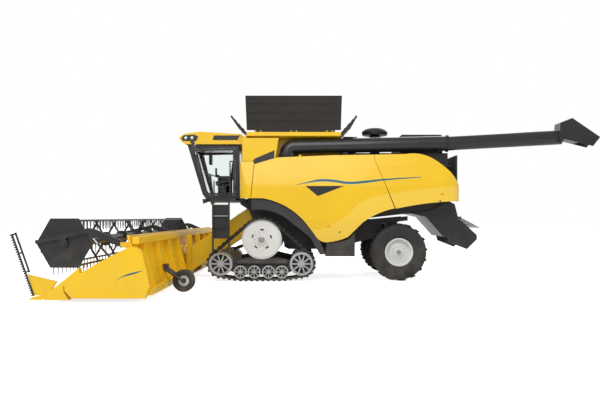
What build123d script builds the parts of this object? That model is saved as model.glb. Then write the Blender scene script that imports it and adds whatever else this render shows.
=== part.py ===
from build123d import *
import math
import os

os.makedirs("parts", exist_ok=True)

# Tracked combine harvester with its grain header on. Millimetres, X forward, Y to the machine's left,
# Z up. The origin is on the ground, under the middle of the whole outline.

# Fits and clearances
overrun = 20  # how far a cut runs past what it cuts
gap = 6  # running clearance of moving sheet metal
pin_gap = 0.5  # radial clearance of a pin or shaft in its bore
seat_gap = 0.3  # clearance of a pane or a loose seat
overlap = 1  # how far a foot or an ear runs into what it is welded to, and its play beside a knuckle
sheet = 12  # pressed sheet with its folded edge
pin_r = 12  # small hinge pins

# Main places
drive_x, drive_z = 2160, 1107  # driving wheels of the tracks
rear_axle_x, tyre_r = -1470, 765  # the rear axle stands one tyre radius up
rear_axle_z = tyre_r
cab_rear, cab_floor, cab_half = 2830, 2200, 960
housing_half, housing_top = 780, 2680
body_half = 1690  # widest point of the side panels


def across(y):
    """Sketch plane seen from the left at a lateral place: X to the front, Z up."""
    return Plane(origin=(0, y, 0), x_dir=(1, 0, 0), z_dir=(0, -1, 0))


def facing_front(x):
    """Sketch plane at a place along the machine: local x is to the left, local y is up."""
    return Plane(origin=(x, 0, 0), x_dir=(0, 1, 0), z_dir=(1, 0, 0))


def spread(shares, origin, size):
    """Places given as shares of a length and a height, from a corner. A third column is kept."""
    return [(origin[0] + row[0] * size[0], origin[1] + row[1] * size[1]) + tuple(row[2:]) for row in shares]


def save(piece, name):
    """Labels one finished piece and writes its file."""
    piece.label = name
    export_step(piece, f"parts/{name}.step")


def save_pair(piece, name):
    """Writes a left piece and its mirror image on the right, as two nodes."""
    save(piece, f"{name}_left")
    save(mirror(piece, about=Plane.XZ), f"{name}_right")


def slab(points, y_from, y_to, radius=0, mode=Mode.ADD):
    """Adds a side-view outline between two lateral places, its corners rounded by radius."""
    with BuildPart() as piece:
        with BuildSketch(across(max(y_from, y_to))):
            with BuildLine():
                if radius:
                    FilletPolyline(*points, radius=radius, close=True)
                else:
                    Polyline(*points, close=True)
            make_face()
        extrude(amount=abs(y_to - y_from))
    add(piece.part, mode=mode)


def traced_slab(points, y_from, y_to, mode=Mode.ADD):
    """A slab whose outline has arcs: a point whose third column is 1 is the middle of an arc."""
    with BuildPart() as piece:
        with BuildSketch(across(max(y_from, y_to))):
            with BuildLine():
                corner, middle = points[0], None
                for point in points[1:] + points[:1]:
                    if point[2]:
                        middle = point
                    elif middle:
                        ThreePointArc(corner[:2], middle[:2], point[:2])
                        corner, middle = point, None
                    else:
                        Line(corner[:2], point[:2])
                        corner = point
            make_face()
        extrude(amount=abs(y_to - y_from))
    add(piece.part, mode=mode)


def cavity(points, wall, y_from, y_to):
    """Cuts out a side-view outline taken in by a wall, between two lateral places."""
    with BuildPart() as piece:
        with BuildSketch(across(max(y_from, y_to))):
            with BuildLine():
                Polyline(*points, close=True)
            make_face()
            offset(amount=-wall, kind=Kind.INTERSECTION, mode=Mode.REPLACE)
        extrude(amount=abs(y_to - y_from))
    add(piece.part, mode=Mode.SUBTRACT)


def front_slab(points, x_from, x_to, radius=0, mode=Mode.ADD):
    """Adds a front-view outline (y, z) between two places along the machine."""
    with BuildPart() as piece:
        with BuildSketch(facing_front(min(x_from, x_to))):
            with BuildLine():
                if radius:
                    FilletPolyline(*points, radius=radius, close=True)
                else:
                    Polyline(*points, close=True)
            make_face()
        extrude(amount=abs(x_to - x_from))
    add(piece.part, mode=mode)


def block(corner, opposite, mode=Mode.ADD):
    """Adds a box between two opposite corners."""
    middle = [(a + b) / 2 for a, b in zip(corner, opposite)]
    size = [abs(b - a) for a, b in zip(corner, opposite)]
    with Locations(tuple(middle)):
        Box(*size, mode=mode)


def bar(start, end, radius, mode=Mode.ADD):
    """Adds a round bar from one point to another."""
    first, last = Vector(*start), Vector(*end)
    with BuildPart() as piece:
        with BuildSketch(Plane(origin=first, z_dir=last - first)):
            Circle(radius)
        extrude(amount=(last - first).length)
    add(piece.part, mode=mode)


def drum(x, z, y_from, y_to, radius, mode=Mode.ADD):
    """Adds a disc, drum or pin about a crosswise axis."""
    bar((x, y_from, z), (x, y_to, z), radius, mode=mode)


def turned(section, x, y, z):
    """Adds a ring or wheel: (lateral, radial) points turned about a crosswise axis."""
    with BuildPart() as piece:
        with BuildSketch(Plane(origin=(x, y, z), x_dir=(0, 1, 0), z_dir=(1, 0, 0))):
            with BuildLine():
                Polyline(*section, close=True)
            make_face()
        revolve(axis=Axis((x, y, z), (0, 1, 0)))
    add(piece.part)


# Track units: a rubber belt round a driving wheel, two idlers and four rollers on each side
track_y, track_width = 1445, 610
belt_band, lug_height, lug_length = 35, 40, 62
lug_rows = 48
drive_wheel_r, idler_r, roller_r = 525, 310, 171
wheel_seat = seat_gap  # the belt's inner face lies this far off its wheels
belt_out = wheel_seat + belt_band
idler_z = 460
roller_z = roller_r + belt_out + lug_height
front_idler_x, rear_idler_x = 3243, 1110
roller_x = [2723, 2359, 1981, 1628]
track_inner = track_y - track_width / 2

# x, z, radius of what the belt runs round
belt_wheels = [
    (drive_x, drive_z, drive_wheel_r),
    (front_idler_x, idler_z, idler_r),
    (rear_idler_x, idler_z, idler_r),
] + [(x, roller_z, roller_r) for x in roller_x]


def belt_circles(extra):
    """Circles round the belt's wheels, grown by extra, for their common outline."""
    return [Edge.make_circle(r + extra, Plane((x, z, 0))) for x, z, r in belt_wheels]


with BuildPart() as track_belts:
    for half_row, y in ((0, track_y), (0.5, track_y - track_width / 2)):
        with BuildSketch(across(y + track_width / 2)):
            make_hull(belt_circles(belt_out))
            run = Wire.make_convex_hull(belt_circles(belt_out))
            places = []
            for i in range(lug_rows):
                share = (i + half_row) / lug_rows
                point, along = run @ share, run % share
                turn = math.degrees(math.atan2(along.Y, along.X))
                places.append(Location((point.X, point.Y, 0), (0, 0, turn)))
            with Locations(*places):
                Rectangle(lug_length, 2 * lug_height)
            make_hull(belt_circles(wheel_seat), mode=Mode.SUBTRACT)
        extrude(amount=track_width / 2)
    mirror(about=Plane.XZ)
save(track_belts.part, "track_belts")

# Driving wheels: two rims on sprocket bars, a slotted outer disc and a hub
disc_sheet, rim_inset, rim_deep = 30, 30, 96
disc_slots, slot_circle_r, slot_long, slot_wide = 5, 255, 100, 44
drum_r, hub_r, hub_depth, shaft_r = 485, 125, 45, 95
sprocket_bars, sprocket_bar_r = 18, 24
drive_face = track_y + track_width / 2 - rim_inset  # outer face of the outer disc
drive_back = 2 * track_y - drive_face
with BuildPart() as drive_wheels:
    with BuildSketch(across(drive_face)):
        with Locations((drive_x, drive_z)):
            Circle(drum_r)
            with PolarLocations(slot_circle_r, disc_slots, 20):
                SlotOverall(slot_long, slot_wide, rotation=90, mode=Mode.SUBTRACT)
    extrude(amount=disc_sheet)
    for y in (drive_face - disc_sheet, drive_back + disc_sheet):
        with BuildSketch(across(y)):
            with Locations((drive_x, drive_z)):
                Circle(drive_wheel_r)
                Circle(drive_wheel_r - rim_deep, mode=Mode.SUBTRACT)
        extrude(amount=disc_sheet)
    with BuildSketch(across(drive_face - disc_sheet)):
        with Locations((drive_x, drive_z)):
            with PolarLocations(drive_wheel_r - rim_deep / 2, sprocket_bars):
                Circle(sprocket_bar_r)
    extrude(amount=drive_face - drive_back - disc_sheet)
    drum(drive_x, drive_z, drive_face - disc_sheet, drive_face + hub_depth, hub_r)
    drum(drive_x, drive_z, drive_back, drive_face, shaft_r)
    mirror(about=Plane.XZ)
save(drive_wheels.part, "drive_wheels")

# Idlers and rollers: wheels in pairs on one axle, with the undercarriage frame between them.
# The outer wheel of each pair shows its spokes.
frame_width, pair_width = 150, 200
rim_share, hub_share, axle_share = 0.80, 0.30, 0.15
pair_inner = frame_width / 2 + 2 * gap
pair_outer = pair_inner + pair_width


def wheel_pair(x, z, radius, spokes, spoke):
    """Two wheels on one axle, either side of the undercarriage frame."""
    rim, hub = radius * rim_share, radius * hub_share
    with BuildPart() as pair:
        turned([(pair_inner, rim), (pair_outer, rim), (pair_outer, radius), (pair_inner, radius)], x,
               track_y, z)
        turned(
            [(-pair_outer, radius), (-pair_inner, radius), (-pair_inner, rim),
             (-pair_outer + rim_inset, hub),
             (-pair_outer + rim_inset, 1), (-pair_outer, 1)],
            x, track_y, z,
        )
        with BuildSketch(across(track_y + pair_outer - rim_inset)):
            with Locations((x, z)):
                Circle(hub)
                with PolarLocations((rim + hub) / 2, spokes):
                    Rectangle(rim - hub + spoke, spoke)
        extrude(amount=rim_inset)
        drum(x, z, track_y - pair_outer, track_y + pair_outer - rim_inset, radius * axle_share)
        drum(x, z, track_y + pair_outer - 2 * rim_inset, track_y + pair_outer, hub * rim_share)
    add(pair.part)


idler_spokes, idler_spoke = 10, 38
roller_spokes, roller_spoke = 8, 24
with BuildPart() as track_rollers:
    for x in (front_idler_x, rear_idler_x):
        wheel_pair(x, idler_z, idler_r, idler_spokes, idler_spoke)
    for x in roller_x:
        wheel_pair(x, roller_z, roller_r, roller_spokes, roller_spoke)
    mirror(about=Plane.XZ)
save(track_rollers.part, "track_rollers")

# Undercarriage frames: a beam between the wheel pairs, and the saddle plate under the driving wheel
axle_boss, beam_corner, beam_drop = 60, 30, 80
saddle_half, saddle_top, saddle_foot = 340, 640, 470
saddle_reach, saddle_chin = 714, 646
saddle_width = frame_width / 2 + 140
pivot_shaft_r, pivot_drop = 50, 122
with BuildPart() as track_frames:
    slab(
        [
            (front_idler_x + axle_boss, idler_z - axle_boss),
            (front_idler_x + axle_boss, idler_z + axle_boss),
            (drive_x + saddle_reach, idler_z + axle_boss + beam_corner),
            (drive_x + saddle_half, saddle_top),
            (drive_x - saddle_half, saddle_top),
            (drive_x - saddle_reach, idler_z + axle_boss + beam_corner),
            (rear_idler_x - axle_boss, idler_z + axle_boss),
            (rear_idler_x - axle_boss, idler_z - axle_boss),
            (roller_x[-1] - axle_boss, roller_z - beam_drop),
            (roller_x[0] + axle_boss, roller_z - beam_drop),
        ],
        track_y + frame_width / 2,
        track_y - frame_width / 2,
        radius=beam_corner,
    )
    slab(
        [
            (drive_x + saddle_reach, saddle_foot + axle_boss),
            (drive_x + saddle_half, saddle_top - beam_corner),
            (drive_x - saddle_half, saddle_top - beam_corner),
            (drive_x - saddle_reach, saddle_foot + axle_boss),
            (drive_x - saddle_chin, saddle_foot),
            (drive_x + saddle_chin, saddle_foot),
        ],
        track_y + saddle_width,
        track_y - frame_width / 2,
    )
    drum(drive_x, drive_z, track_y + track_width, track_y - track_width, drive_wheel_r + gap,
         mode=Mode.SUBTRACT)
    for x, z, r in belt_wheels[1:]:
        drum(x, z, track_y + track_width, track_y - track_width, r * axle_share + seat_gap,
             mode=Mode.SUBTRACT)
    mirror(about=Plane.XZ)
save(track_frames.part, "track_frames")

# Feeder house pivot, and the frame's main stations
feeder_half, feeder_sheet = 720, 12
pivot_x, pivot_z, pivot_r, pivot_boss = 2420, 1960, 70, 50
rail_y, rail_half, rail_low, rail_high = 640, 55, 1225, 1370
bracket_wall = 40

# Front axle: a beam with a gearbox in the middle, a final drive beside each track and the brackets
# that carry the header's lift cylinders
final_drive_r, axle_tube_r, drive_width = 210, 110, 330
gearbox_half, gearbox_deep, gearbox_high = 330, 260, 230
pad_half, strut_half = 150, 90
lift_y, lift_base_x, lift_base_z, lift_pin_r = 480, 2450, 1000, 22
lift_barrel_r, ear = 42, 20
lift_ear_play = 3
lift_ear_in = lift_barrel_r + lift_ear_play
with BuildPart() as front_axle:
    drum(drive_x, drive_z, -track_inner + strut_half, track_inner - strut_half, axle_tube_r)
    block((drive_x - gearbox_high, -gearbox_half, drive_z - gearbox_deep),
          (drive_x + gearbox_high, gearbox_half, drive_z + gearbox_high))
    for side in (1, -1):
        drum(drive_x, drive_z, side * (track_inner - drive_width), side * (track_inner - 2 * gap),
             final_drive_r)
        drum(drive_x, drive_z, side * (track_inner - 2 * gap), side * drive_back, shaft_r - 2 * gap)
        drum(drive_x, saddle_top - pivot_drop, side * (track_inner - drive_width),
             side * (track_y - frame_width / 2), pivot_shaft_r)
        block(
            (drive_x - strut_half, side * (track_inner - drive_width), saddle_top - pivot_drop - strut_half),
            (drive_x + strut_half, side * (track_inner - drive_width + axle_tube_r), drive_z),
        )
        block((drive_x - pad_half, side * rail_y - rail_half, drive_z),
              (drive_x + pad_half, side * rail_y + rail_half, rail_low))
        for way in (1, -1):
            slab(
                [
                    (drive_x + gearbox_high - ear, drive_z - ear),
                    (drive_x + gearbox_high - ear, drive_z + 3 * ear),
                    (lift_base_x, lift_base_z + 2 * lift_pin_r),
                    (lift_base_x + 2 * lift_pin_r, lift_base_z),
                    (lift_base_x, lift_base_z - 2 * lift_pin_r),
                    (drive_x, drive_z - axle_tube_r / 2),
                    (drive_x, drive_z),
                ],
                side * lift_y + way * lift_ear_in,
                side * lift_y + way * (lift_ear_in + ear),
            )
        drum(lift_base_x, lift_base_z, side * lift_y - lift_ear_in - ear, side * lift_y + lift_ear_in + ear,
             lift_pin_r)
save(front_axle.part, "front_axle")

# Rear axle: a tapered beam, knuckles that steer, and wheels that turn on them
kingpin_y, wheel_y = 880, 1400
kingpin_r, kingpin_boss_r, kingpin_half, kingpin_boss_half = 45, 90, 170, 95
beam_end, beam_mid, beam_mid_half, beam_thick = 80, 150, 330, 220
with BuildPart() as rear_axle:
    front_slab(
        [
            (-kingpin_y, rear_axle_z - beam_end),
            (kingpin_y, rear_axle_z - beam_end),
            (kingpin_y, rear_axle_z + beam_end),
            (beam_mid_half, rear_axle_z + beam_mid),
            (-beam_mid_half, rear_axle_z + beam_mid),
            (-kingpin_y, rear_axle_z + beam_end),
        ],
        rear_axle_x - beam_thick / 2 + kingpin_r / 2,
        rear_axle_x + beam_thick / 2 - kingpin_r / 2,
    )
    for side in (1, -1):
        with Locations((rear_axle_x, side * kingpin_y, rear_axle_z)):
            Cylinder(kingpin_boss_r, 2 * kingpin_boss_half)
            Cylinder(kingpin_r, 2 * kingpin_half)
save(rear_axle.part, "rear_axle")

spindle_r, spindle_long = 60, 140
fork_wall, fork_half, fork_in, fork_back = 55, 75, 110, 60
with BuildPart() as knuckle:
    low, high = kingpin_boss_half + seat_gap, kingpin_boss_half + fork_wall
    for way in (1, -1):
        block((rear_axle_x - fork_half, kingpin_y - fork_half, rear_axle_z + way * low),
              (rear_axle_x + fork_half, kingpin_y + fork_in + fork_back, rear_axle_z + way * high))
    with Locations((rear_axle_x, kingpin_y, rear_axle_z)):
        Cylinder(kingpin_r + pin_gap, 3 * kingpin_half, mode=Mode.SUBTRACT)
    block((rear_axle_x - fork_half, kingpin_y + fork_in, rear_axle_z - high),
          (rear_axle_x + fork_half, kingpin_y + fork_in + fork_back, rear_axle_z + high))
    drum(rear_axle_x, rear_axle_z, kingpin_y + fork_in + fork_back, wheel_y + spindle_long, spindle_r)
save_pair(knuckle.part, "knuckle")

tyre_width, rim_r, rim_width = 600, 372, 520
tread_lug, lug_foot, lug_wide, lug_rows_rear, lug_angle = 34, 25, 52, 16, 38
lug_middle_share = 0.23
bead_rise, shoulder_drop, shoulder_in, bulge_r = 90, 110, 60, 50
with BuildPart() as rear_tyre:
    half, carcass_r = tyre_width / 2, tyre_r - tread_lug
    with BuildSketch(Plane(origin=(rear_axle_x, wheel_y, rear_axle_z), x_dir=(0, 1, 0), z_dir=(1, 0, 0))):
        with BuildLine():
            FilletPolyline(
                (-rim_width / 2, rim_r),
                (-half, rim_r + bead_rise),
                (-half, carcass_r - shoulder_drop),
                (-half + shoulder_in, carcass_r),
                (half - shoulder_in, carcass_r),
                (half, carcass_r - shoulder_drop),
                (half, rim_r + bead_rise),
                (rim_width / 2, rim_r),
                radius=[0] + [bulge_r] * 6 + [0],
                close=True,
            )
        make_face()
    revolve(axis=Axis((rear_axle_x, wheel_y, rear_axle_z), (0, 1, 0)))
    places = []
    for side in (1, -1):
        for i in range(lug_rows_rear):
            angle = math.radians(360 / lug_rows_rear * (i + side / 4))
            up = Vector(math.sin(angle), 0, math.cos(angle))
            middle = Vector(rear_axle_x, wheel_y + side * tyre_width * lug_middle_share, rear_axle_z)
            seat = Plane(origin=middle + up * (tyre_r - (tread_lug + lug_foot) / 2), x_dir=(0, 1, 0),
                         z_dir=up)
            places.append(seat.rotated((0, 0, side * lug_angle)).location)
    with Locations(*places):
        Box(tyre_width / 2, lug_wide, tread_lug + lug_foot)
    drum(rear_axle_x, rear_axle_z, wheel_y - tyre_width, wheel_y + tyre_width, tyre_r, mode=Mode.INTERSECT)
save_pair(rear_tyre.part, "rear_tyre")

rim_lip, dish_r, cap_r, cap_deep, cap_face = 26, 250, 78, 60, 120
with BuildPart() as rear_rim:
    bore = spindle_r + pin_gap
    turned(
        [
            (-rim_width / 2, rim_r),
            (-rim_width / 2, rim_r - rim_lip),
            (-rim_width / 4, rim_r - 3 * rim_lip),
            (rim_lip, rim_r - 3 * rim_lip),
            (rim_lip, dish_r),
            (3 * rim_lip, dish_r - cap_r),
            (3 * rim_lip, bore),
            (spindle_long, bore),
            (spindle_long, dish_r - cap_r),
            (4 * rim_lip, dish_r + rim_lip),
            (4 * rim_lip, rim_r - 2 * rim_lip),
            (rim_width / 2 - rim_lip, rim_r - 2 * rim_lip),
            (rim_width / 2, rim_r - rim_lip),
            (rim_width / 2, rim_r),
        ],
        rear_axle_x, wheel_y, rear_axle_z,
    )
    drum(rear_axle_x, rear_axle_z, wheel_y + spindle_long + seat_gap, wheel_y + spindle_long + rim_lip,
         cap_face)
    drum(rear_axle_x, rear_axle_z, wheel_y + spindle_long + rim_lip, wheel_y + spindle_long + cap_deep,
         cap_r)
save_pair(rear_rim.part, "rear_rim")

# Main frame: rails, cross members, the rear axle's pedestal, the hitch and the feeder's brackets
rail_front, rail_back, rail_rise_x, rail_kick_x = 2350, -1850, 1250, -420
rail_kick_low, rail_kick_high, rail_end_low, rail_end_high = 1450, 1590, 1600, 1720
cross_half, cross_high = 60, 90
pedestal_half, pedestal_foot, pedestal_neck, pedestal_low, pedestal_top = 140, 220, 330, 1560, 1640
hitch_x, hitch_z, hitch_half, hitch_bore_r = -2360, 1070, 30, 16
bracket_top, cab_seat_x, cab_seat_z = 2250, 2800, 2120
housing_front = 2180
with BuildPart() as main_frame:
    for side in (1, -1):
        slab(
            [
                (rail_front, rail_low), (rail_front, rail_high), (rail_rise_x, rail_high),
                (rail_kick_x, rail_kick_high), (rail_back, rail_end_high), (rail_back, rail_end_low),
                (rail_kick_x, rail_kick_low), (rail_rise_x, rail_low),
            ],
            side * (rail_y + rail_half),
            side * (rail_y - rail_half),
        )
    for x, z in ((rail_rise_x, rail_low), (rail_kick_x + cross_high, rail_kick_low + cross_high / 4)):
        block((x - 2 * cross_half, -rail_y, z), (x, rail_y, z + cross_high))
    front_slab(
        [
            (-pedestal_foot, rear_axle_z + beam_mid), (pedestal_foot, rear_axle_z + beam_mid),
            (pedestal_neck, pedestal_low), (rail_y, pedestal_low), (rail_y, pedestal_top),
            (-rail_y, pedestal_top), (-rail_y, pedestal_low), (-pedestal_neck, pedestal_low),
        ],
        rear_axle_x - pedestal_half,
        rear_axle_x + pedestal_half,
    )
    block((hitch_x - 2 * hitch_half, -2 * hitch_half, hitch_z - hitch_half),
          (rear_axle_x - pedestal_half + overlap, 2 * hitch_half, hitch_z + hitch_half))
    with Locations((hitch_x, 0, hitch_z)):
        Cylinder(hitch_bore_r, 3 * hitch_half, mode=Mode.SUBTRACT)
    wing = feeder_half + pivot_boss + 2 * gap
    for side in (1, -1):
        slab(
            [
                (housing_front, rail_high), (housing_front, bracket_top),
                (pivot_x + 2 * pivot_r, bracket_top),
                (pivot_x + 2 * pivot_r, cab_seat_z), (cab_seat_x, cab_seat_z),
                (cab_seat_x, cab_seat_z - pivot_r),
                (pivot_x + 2 * pivot_r, pivot_z - pivot_r), (rail_front, rail_high),
            ],
            side * wing,
            side * (wing + bracket_wall),
        )
        block((housing_front, side * (rail_y - rail_half), rail_high),
              (rail_front - pivot_r, side * (wing + bracket_wall), rail_high + cross_high))
        drum(pivot_x, pivot_z, side * (feeder_half - feeder_sheet), side * (wing + bracket_wall),
             pivot_r - 2 * pin_r)
save(main_frame.part, "main_frame")

# Housing between the side panels: threshing body with its straw hood, and the cleaning shoe below
shoe_half, shoe_front, shoe_rear, shoe_low, shoe_back_low = 540, 1650, -1140, 800, 1160
hood_rear, hood_low, hood_front_low, chopper_front_x, chopper_front_z = -2960, 2150, 1880, -1900, 1800
belly_x, belly_z, mid_x, mid_z, cab_bay_x, cab_bay_z = 1250, 1380, -300, 1620, 2640, 2270
hood_knee_x = -2450
hanger_half = 60
shell_rear, shell_skin = -3150, 45
with BuildPart() as threshing_housing:
    slab(
        [
            (housing_front, rail_high), (housing_front, cab_bay_z), (cab_bay_x, cab_bay_z),
            (cab_bay_x, housing_top), (hood_rear, housing_top), (hood_rear, hood_low),
            (hood_knee_x, hood_front_low), (chopper_front_x, chopper_front_z), (mid_x, mid_z),
            (belly_x, belly_z),
        ],
        housing_half,
        -housing_half,
    )
    slab(
        [
            (shoe_front, belly_z + sheet), (shoe_front - hanger_half, shoe_low + hanger_half),
            (shoe_front - 3 * hanger_half, shoe_low), (rail_rise_x / 4, shoe_low),
            (shoe_rear, shoe_back_low), (shoe_rear, mid_z + sheet), (mid_x, mid_z + shell_skin),
        ],
        shoe_half,
        -shoe_half,
    )
    for side in (1, -1):
        block((hood_rear + overlap, side * housing_half / 2, housing_top - 3 * hanger_half),
              (shell_rear + shell_skin, side * (housing_half / 2 + hanger_half),
               housing_top - 2 * hanger_half))
    add(main_frame.part, mode=Mode.SUBTRACT)
save(threshing_housing.part, "threshing_housing")

# Side bodywork: one curved skin, cut into its panels. Its section bulges to body_half.
shell_front, shell_low, shell_top = 2760, 1000, 3600
bulge_z, foot_half, shoulder_half = 2620, 1600, 1465
front_corner_r, rear_corner_r = 240, 520
seam = 12


def bodywork(inset):
    """The body's outer form taken in by inset: bulged sides, rounded in plan at its corners."""
    foot, wide, shoulder = foot_half - inset, body_half - inset, shoulder_half - inset
    with BuildPart() as form:
        with BuildSketch(facing_front(shell_rear - overrun)):
            with BuildLine():
                ThreePointArc((foot, shell_low), (wide, bulge_z), (shoulder, shell_top))
                Line((shoulder, shell_top), (-shoulder, shell_top))
                ThreePointArc((-shoulder, shell_top), (-wide, bulge_z), (-foot, shell_low))
                Line((-foot, shell_low), (foot, shell_low))
            make_face()
        extrude(amount=shell_front - shell_rear + 2 * overrun)
        with BuildSketch():
            with BuildLine():
                side = body_half + seam - inset
                FilletPolyline(
                    (shell_front - inset, -side),
                    (shell_front - inset, side),
                    (shell_rear + inset, side),
                    (shell_rear + inset, -side),
                    radius=[front_corner_r - inset, front_corner_r - inset, rear_corner_r - inset,
                            rear_corner_r - inset],
                    close=True,
                )
            make_face()
        extrude(amount=shell_top + overrun, mode=Mode.INTERSECT)
    return form.part


with BuildPart() as body_shell:
    add(bodywork(0))
    add(bodywork(shell_skin), mode=Mode.SUBTRACT)

# Panel outlines, as shares of the body's length and height from its rear foot. A point whose third
# column is 1 is the middle of an arc between its neighbours.
panel_origin, panel_size = (-3200, 1038), (5640, 2340)
panel_top_share = [(1, 0.494, 0), (0.986, 0.881, 0), (0.88, 0.958, 0), (0.63, 0.984, 0)]
seam_share = [(0.42, 0.992, 0), (0.42, 0.93, 0), (0.381, 0.701, 0), (0.328, 0.379, 0)]
panel_foot_share = [(0.415, 0.31, 1), (0.476, 0.223, 0), (0.544, 0.059, 0), (0.587, 0.019, 1), (0.63, 0, 0),
                    (0.667, 0.0034, 1), (0.70, 0.0735, 0)]
wheel_arch_share = [(0.738, 0.196, 0), (0.834, 0.397, 1), (0.9475, 0.494, 0)]
panel_rear_share = [(0.322, 0.375, 0), (0.16, 0.44, 1), (0, 0.463, 0), (0, 0.588, 0), (0.06, 0.78, 1),
                    (0.132, 0.927, 0), (0.179, 0.984, 1), (0.268, 1, 0)]
return_y = 1080  # the rear panels wrap round the corner as far as this

# Panel hinges: ears on the walkway carry pins, and each panel has two knuckles on them
hinge_y, hinge_z, knuckle_r, knuckle_half, hinge_ear = 1475, 3340, 22, 30, 20
leaf_reach, leaf_drop = 70, 95
walk_low, walk_z, walk_half, walk_front = 3050, 3090, 1440, 2640
panel_hinges = {"main": (1150, -300), "rear": (-1150, -2050)}


def side_panel(points, inner):
    """One panel: the body's skin inside an outline."""
    with BuildPart() as panel:
        traced_slab(points, body_half + 2 * shell_skin, inner)
        add(body_shell.part, mode=Mode.INTERSECT)
    return panel.part


def hinged_panel(points, hinge_x):
    """A panel with the knuckles that hang it from the walkway's pins."""
    with BuildPart() as panel:
        add(side_panel(points, return_y))
        for x in hinge_x:
            bar((x - knuckle_half, hinge_y, hinge_z), (x + knuckle_half, hinge_y, hinge_z), knuckle_r)
            front_slab([(hinge_y - pin_r, hinge_z), (hinge_y + pin_r, hinge_z),
                        (hinge_y + leaf_reach, hinge_z - leaf_drop),
                        (hinge_y + leaf_reach - knuckle_r, hinge_z - leaf_drop)],
                       x - knuckle_half, x + knuckle_half)
            bar((x - 2 * knuckle_half, hinge_y, hinge_z), (x + 2 * knuckle_half, hinge_y, hinge_z),
                pin_r + pin_gap, mode=Mode.SUBTRACT)
    return panel.part


main_outline = spread(panel_top_share + seam_share + panel_foot_share + wheel_arch_share, panel_origin,
                      panel_size)
rear_seam = [(x - seam, z, bend) for x, z, bend in spread(seam_share, panel_origin, panel_size)]
rear_outline = spread(panel_rear_share, panel_origin, panel_size) + rear_seam[:-1]
save_pair(hinged_panel(main_outline, panel_hinges["main"]), "main_panel")
save_pair(hinged_panel(rear_outline, panel_hinges["rear"]), "rear_panel")

# Rear cover between the rear panels, seated on the hangers of the housing
hood_cover_low, hood_cover_high, louvres = 2160, 3380, 5
with BuildPart() as rear_hood:
    block((shell_rear - overrun, -return_y + seam, hood_cover_low),
          (shell_rear + shell_skin + overlap, return_y - seam, hood_cover_high))
    add(body_shell.part, mode=Mode.INTERSECT)
    for z in [hood_cover_low + (i + 1) * 6 * seam for i in range(louvres)]:
        block((shell_rear - overrun, -return_y / 2, z), (shell_rear + seam, return_y / 2, z + 2 * seam),
              mode=Mode.SUBTRACT)
save(rear_hood.part, "rear_hood")

# Grain tank: open hopper whose walls flare out to a wide rim, and the filling screw in it
tank_front, tank_rear, tank_half = 2573, 58, 1000
rim_half, flare_z, rim_z, tank_top, end_rim = 1470, 3815, 3870, 3970, 3905
tank_wall, hopper_top, hopper_low, sump_long, sump_wide = 30, 3350, 2780, 1500, 500
screw_x, screw_r, screw_top = 1800, 170, 3860
tank_mid, tank_long = (tank_front + tank_rear) / 2, tank_front - tank_rear


def tank_section(wall, low, top):
    """Cross-section of the tank from the front, taken in by the wall."""
    side, rim = tank_half - wall, rim_half - wall
    return [(-side, low), (side, low), (side, flare_z + wall), (rim, rim_z + wall), (rim, top), (-rim, top),
            (-rim, rim_z + wall), (-side, flare_z + wall)]


with BuildPart() as tank_space:
    front_slab(tank_section(tank_wall, hopper_top, tank_top + overrun), tank_rear + tank_wall,
               tank_front - tank_wall)
    with BuildSketch(Plane.XY.offset(hopper_low)):
        with Locations((tank_mid, 0)):
            Rectangle(sump_long, sump_wide)
    with BuildSketch(Plane.XY.offset(hopper_top)):
        with Locations((tank_mid, 0)):
            Rectangle(tank_long - 2 * tank_wall, 2 * (tank_half - tank_wall))
    loft()

# Tank covers stand open on these hinge lines: two at the sides, two at the ends
side_hinge_in, side_hinge_up, end_hinge_up, end_cover_in = 15, 36, 34, 60
side_hinge_y, side_hinge_z = rim_half - side_hinge_in, tank_top + side_hinge_up
end_hinge_z = end_rim + end_hinge_up
end_half = rim_half - tank_wall - end_cover_in
cover_hinge_shares = (0.12, 0.5, 0.88)
cover_knuckle_half, cover_knuckle_r = 60, 20

with BuildPart() as grain_tank:
    front_slab(tank_section(0, housing_top, tank_top), tank_rear, tank_front)
    add(tank_space.part, mode=Mode.SUBTRACT)
    for x in (tank_rear, tank_front):
        block((x - tank_wall - overlap, -rim_half + tank_wall, end_rim),
              (x + tank_wall + overlap, rim_half - tank_wall, tank_top + overrun), mode=Mode.SUBTRACT)
    bar((screw_x, 0, hopper_low - tank_wall), (screw_x, 0, screw_top), screw_r)
    # ears and pins for the covers
    for share in cover_hinge_shares:
        x = tank_rear + share * tank_long
        y = (2 * share - 1) * end_half
        for side in (1, -1):
            for way in (1, -1):
                block((x + way * (cover_knuckle_half + overlap), side * (side_hinge_y - pin_r),
                       tank_top - overlap),
                      (x + way * (cover_knuckle_half + hinge_ear), side * rim_half, side_hinge_z + pin_r))
            bar((x - cover_knuckle_half - hinge_ear, side * side_hinge_y, side_hinge_z),
                (x + cover_knuckle_half + hinge_ear, side * side_hinge_y, side_hinge_z), pin_r)
        for end in (tank_rear, tank_front):
            for way in (1, -1):
                block((end - pin_r, y + way * (cover_knuckle_half + overlap), end_rim - overlap),
                      (end + pin_r, y + way * (cover_knuckle_half + hinge_ear), end_hinge_z + pin_r))
            bar((end, y - cover_knuckle_half - hinge_ear, end_hinge_z),
                (end, y + cover_knuckle_half + hinge_ear, end_hinge_z), pin_r)
save(grain_tank.part, "grain_tank")

# Tank covers: ribbed sheets that lean out, the end ones with folding gussets at their sides
cover_sheet, rib_wide, side_cover, end_cover = 24, 34, 985, 650
side_lean, end_lean = 31, 42
rib_shares = (0.28, 0.52, 0.76, 0.97)


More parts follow.
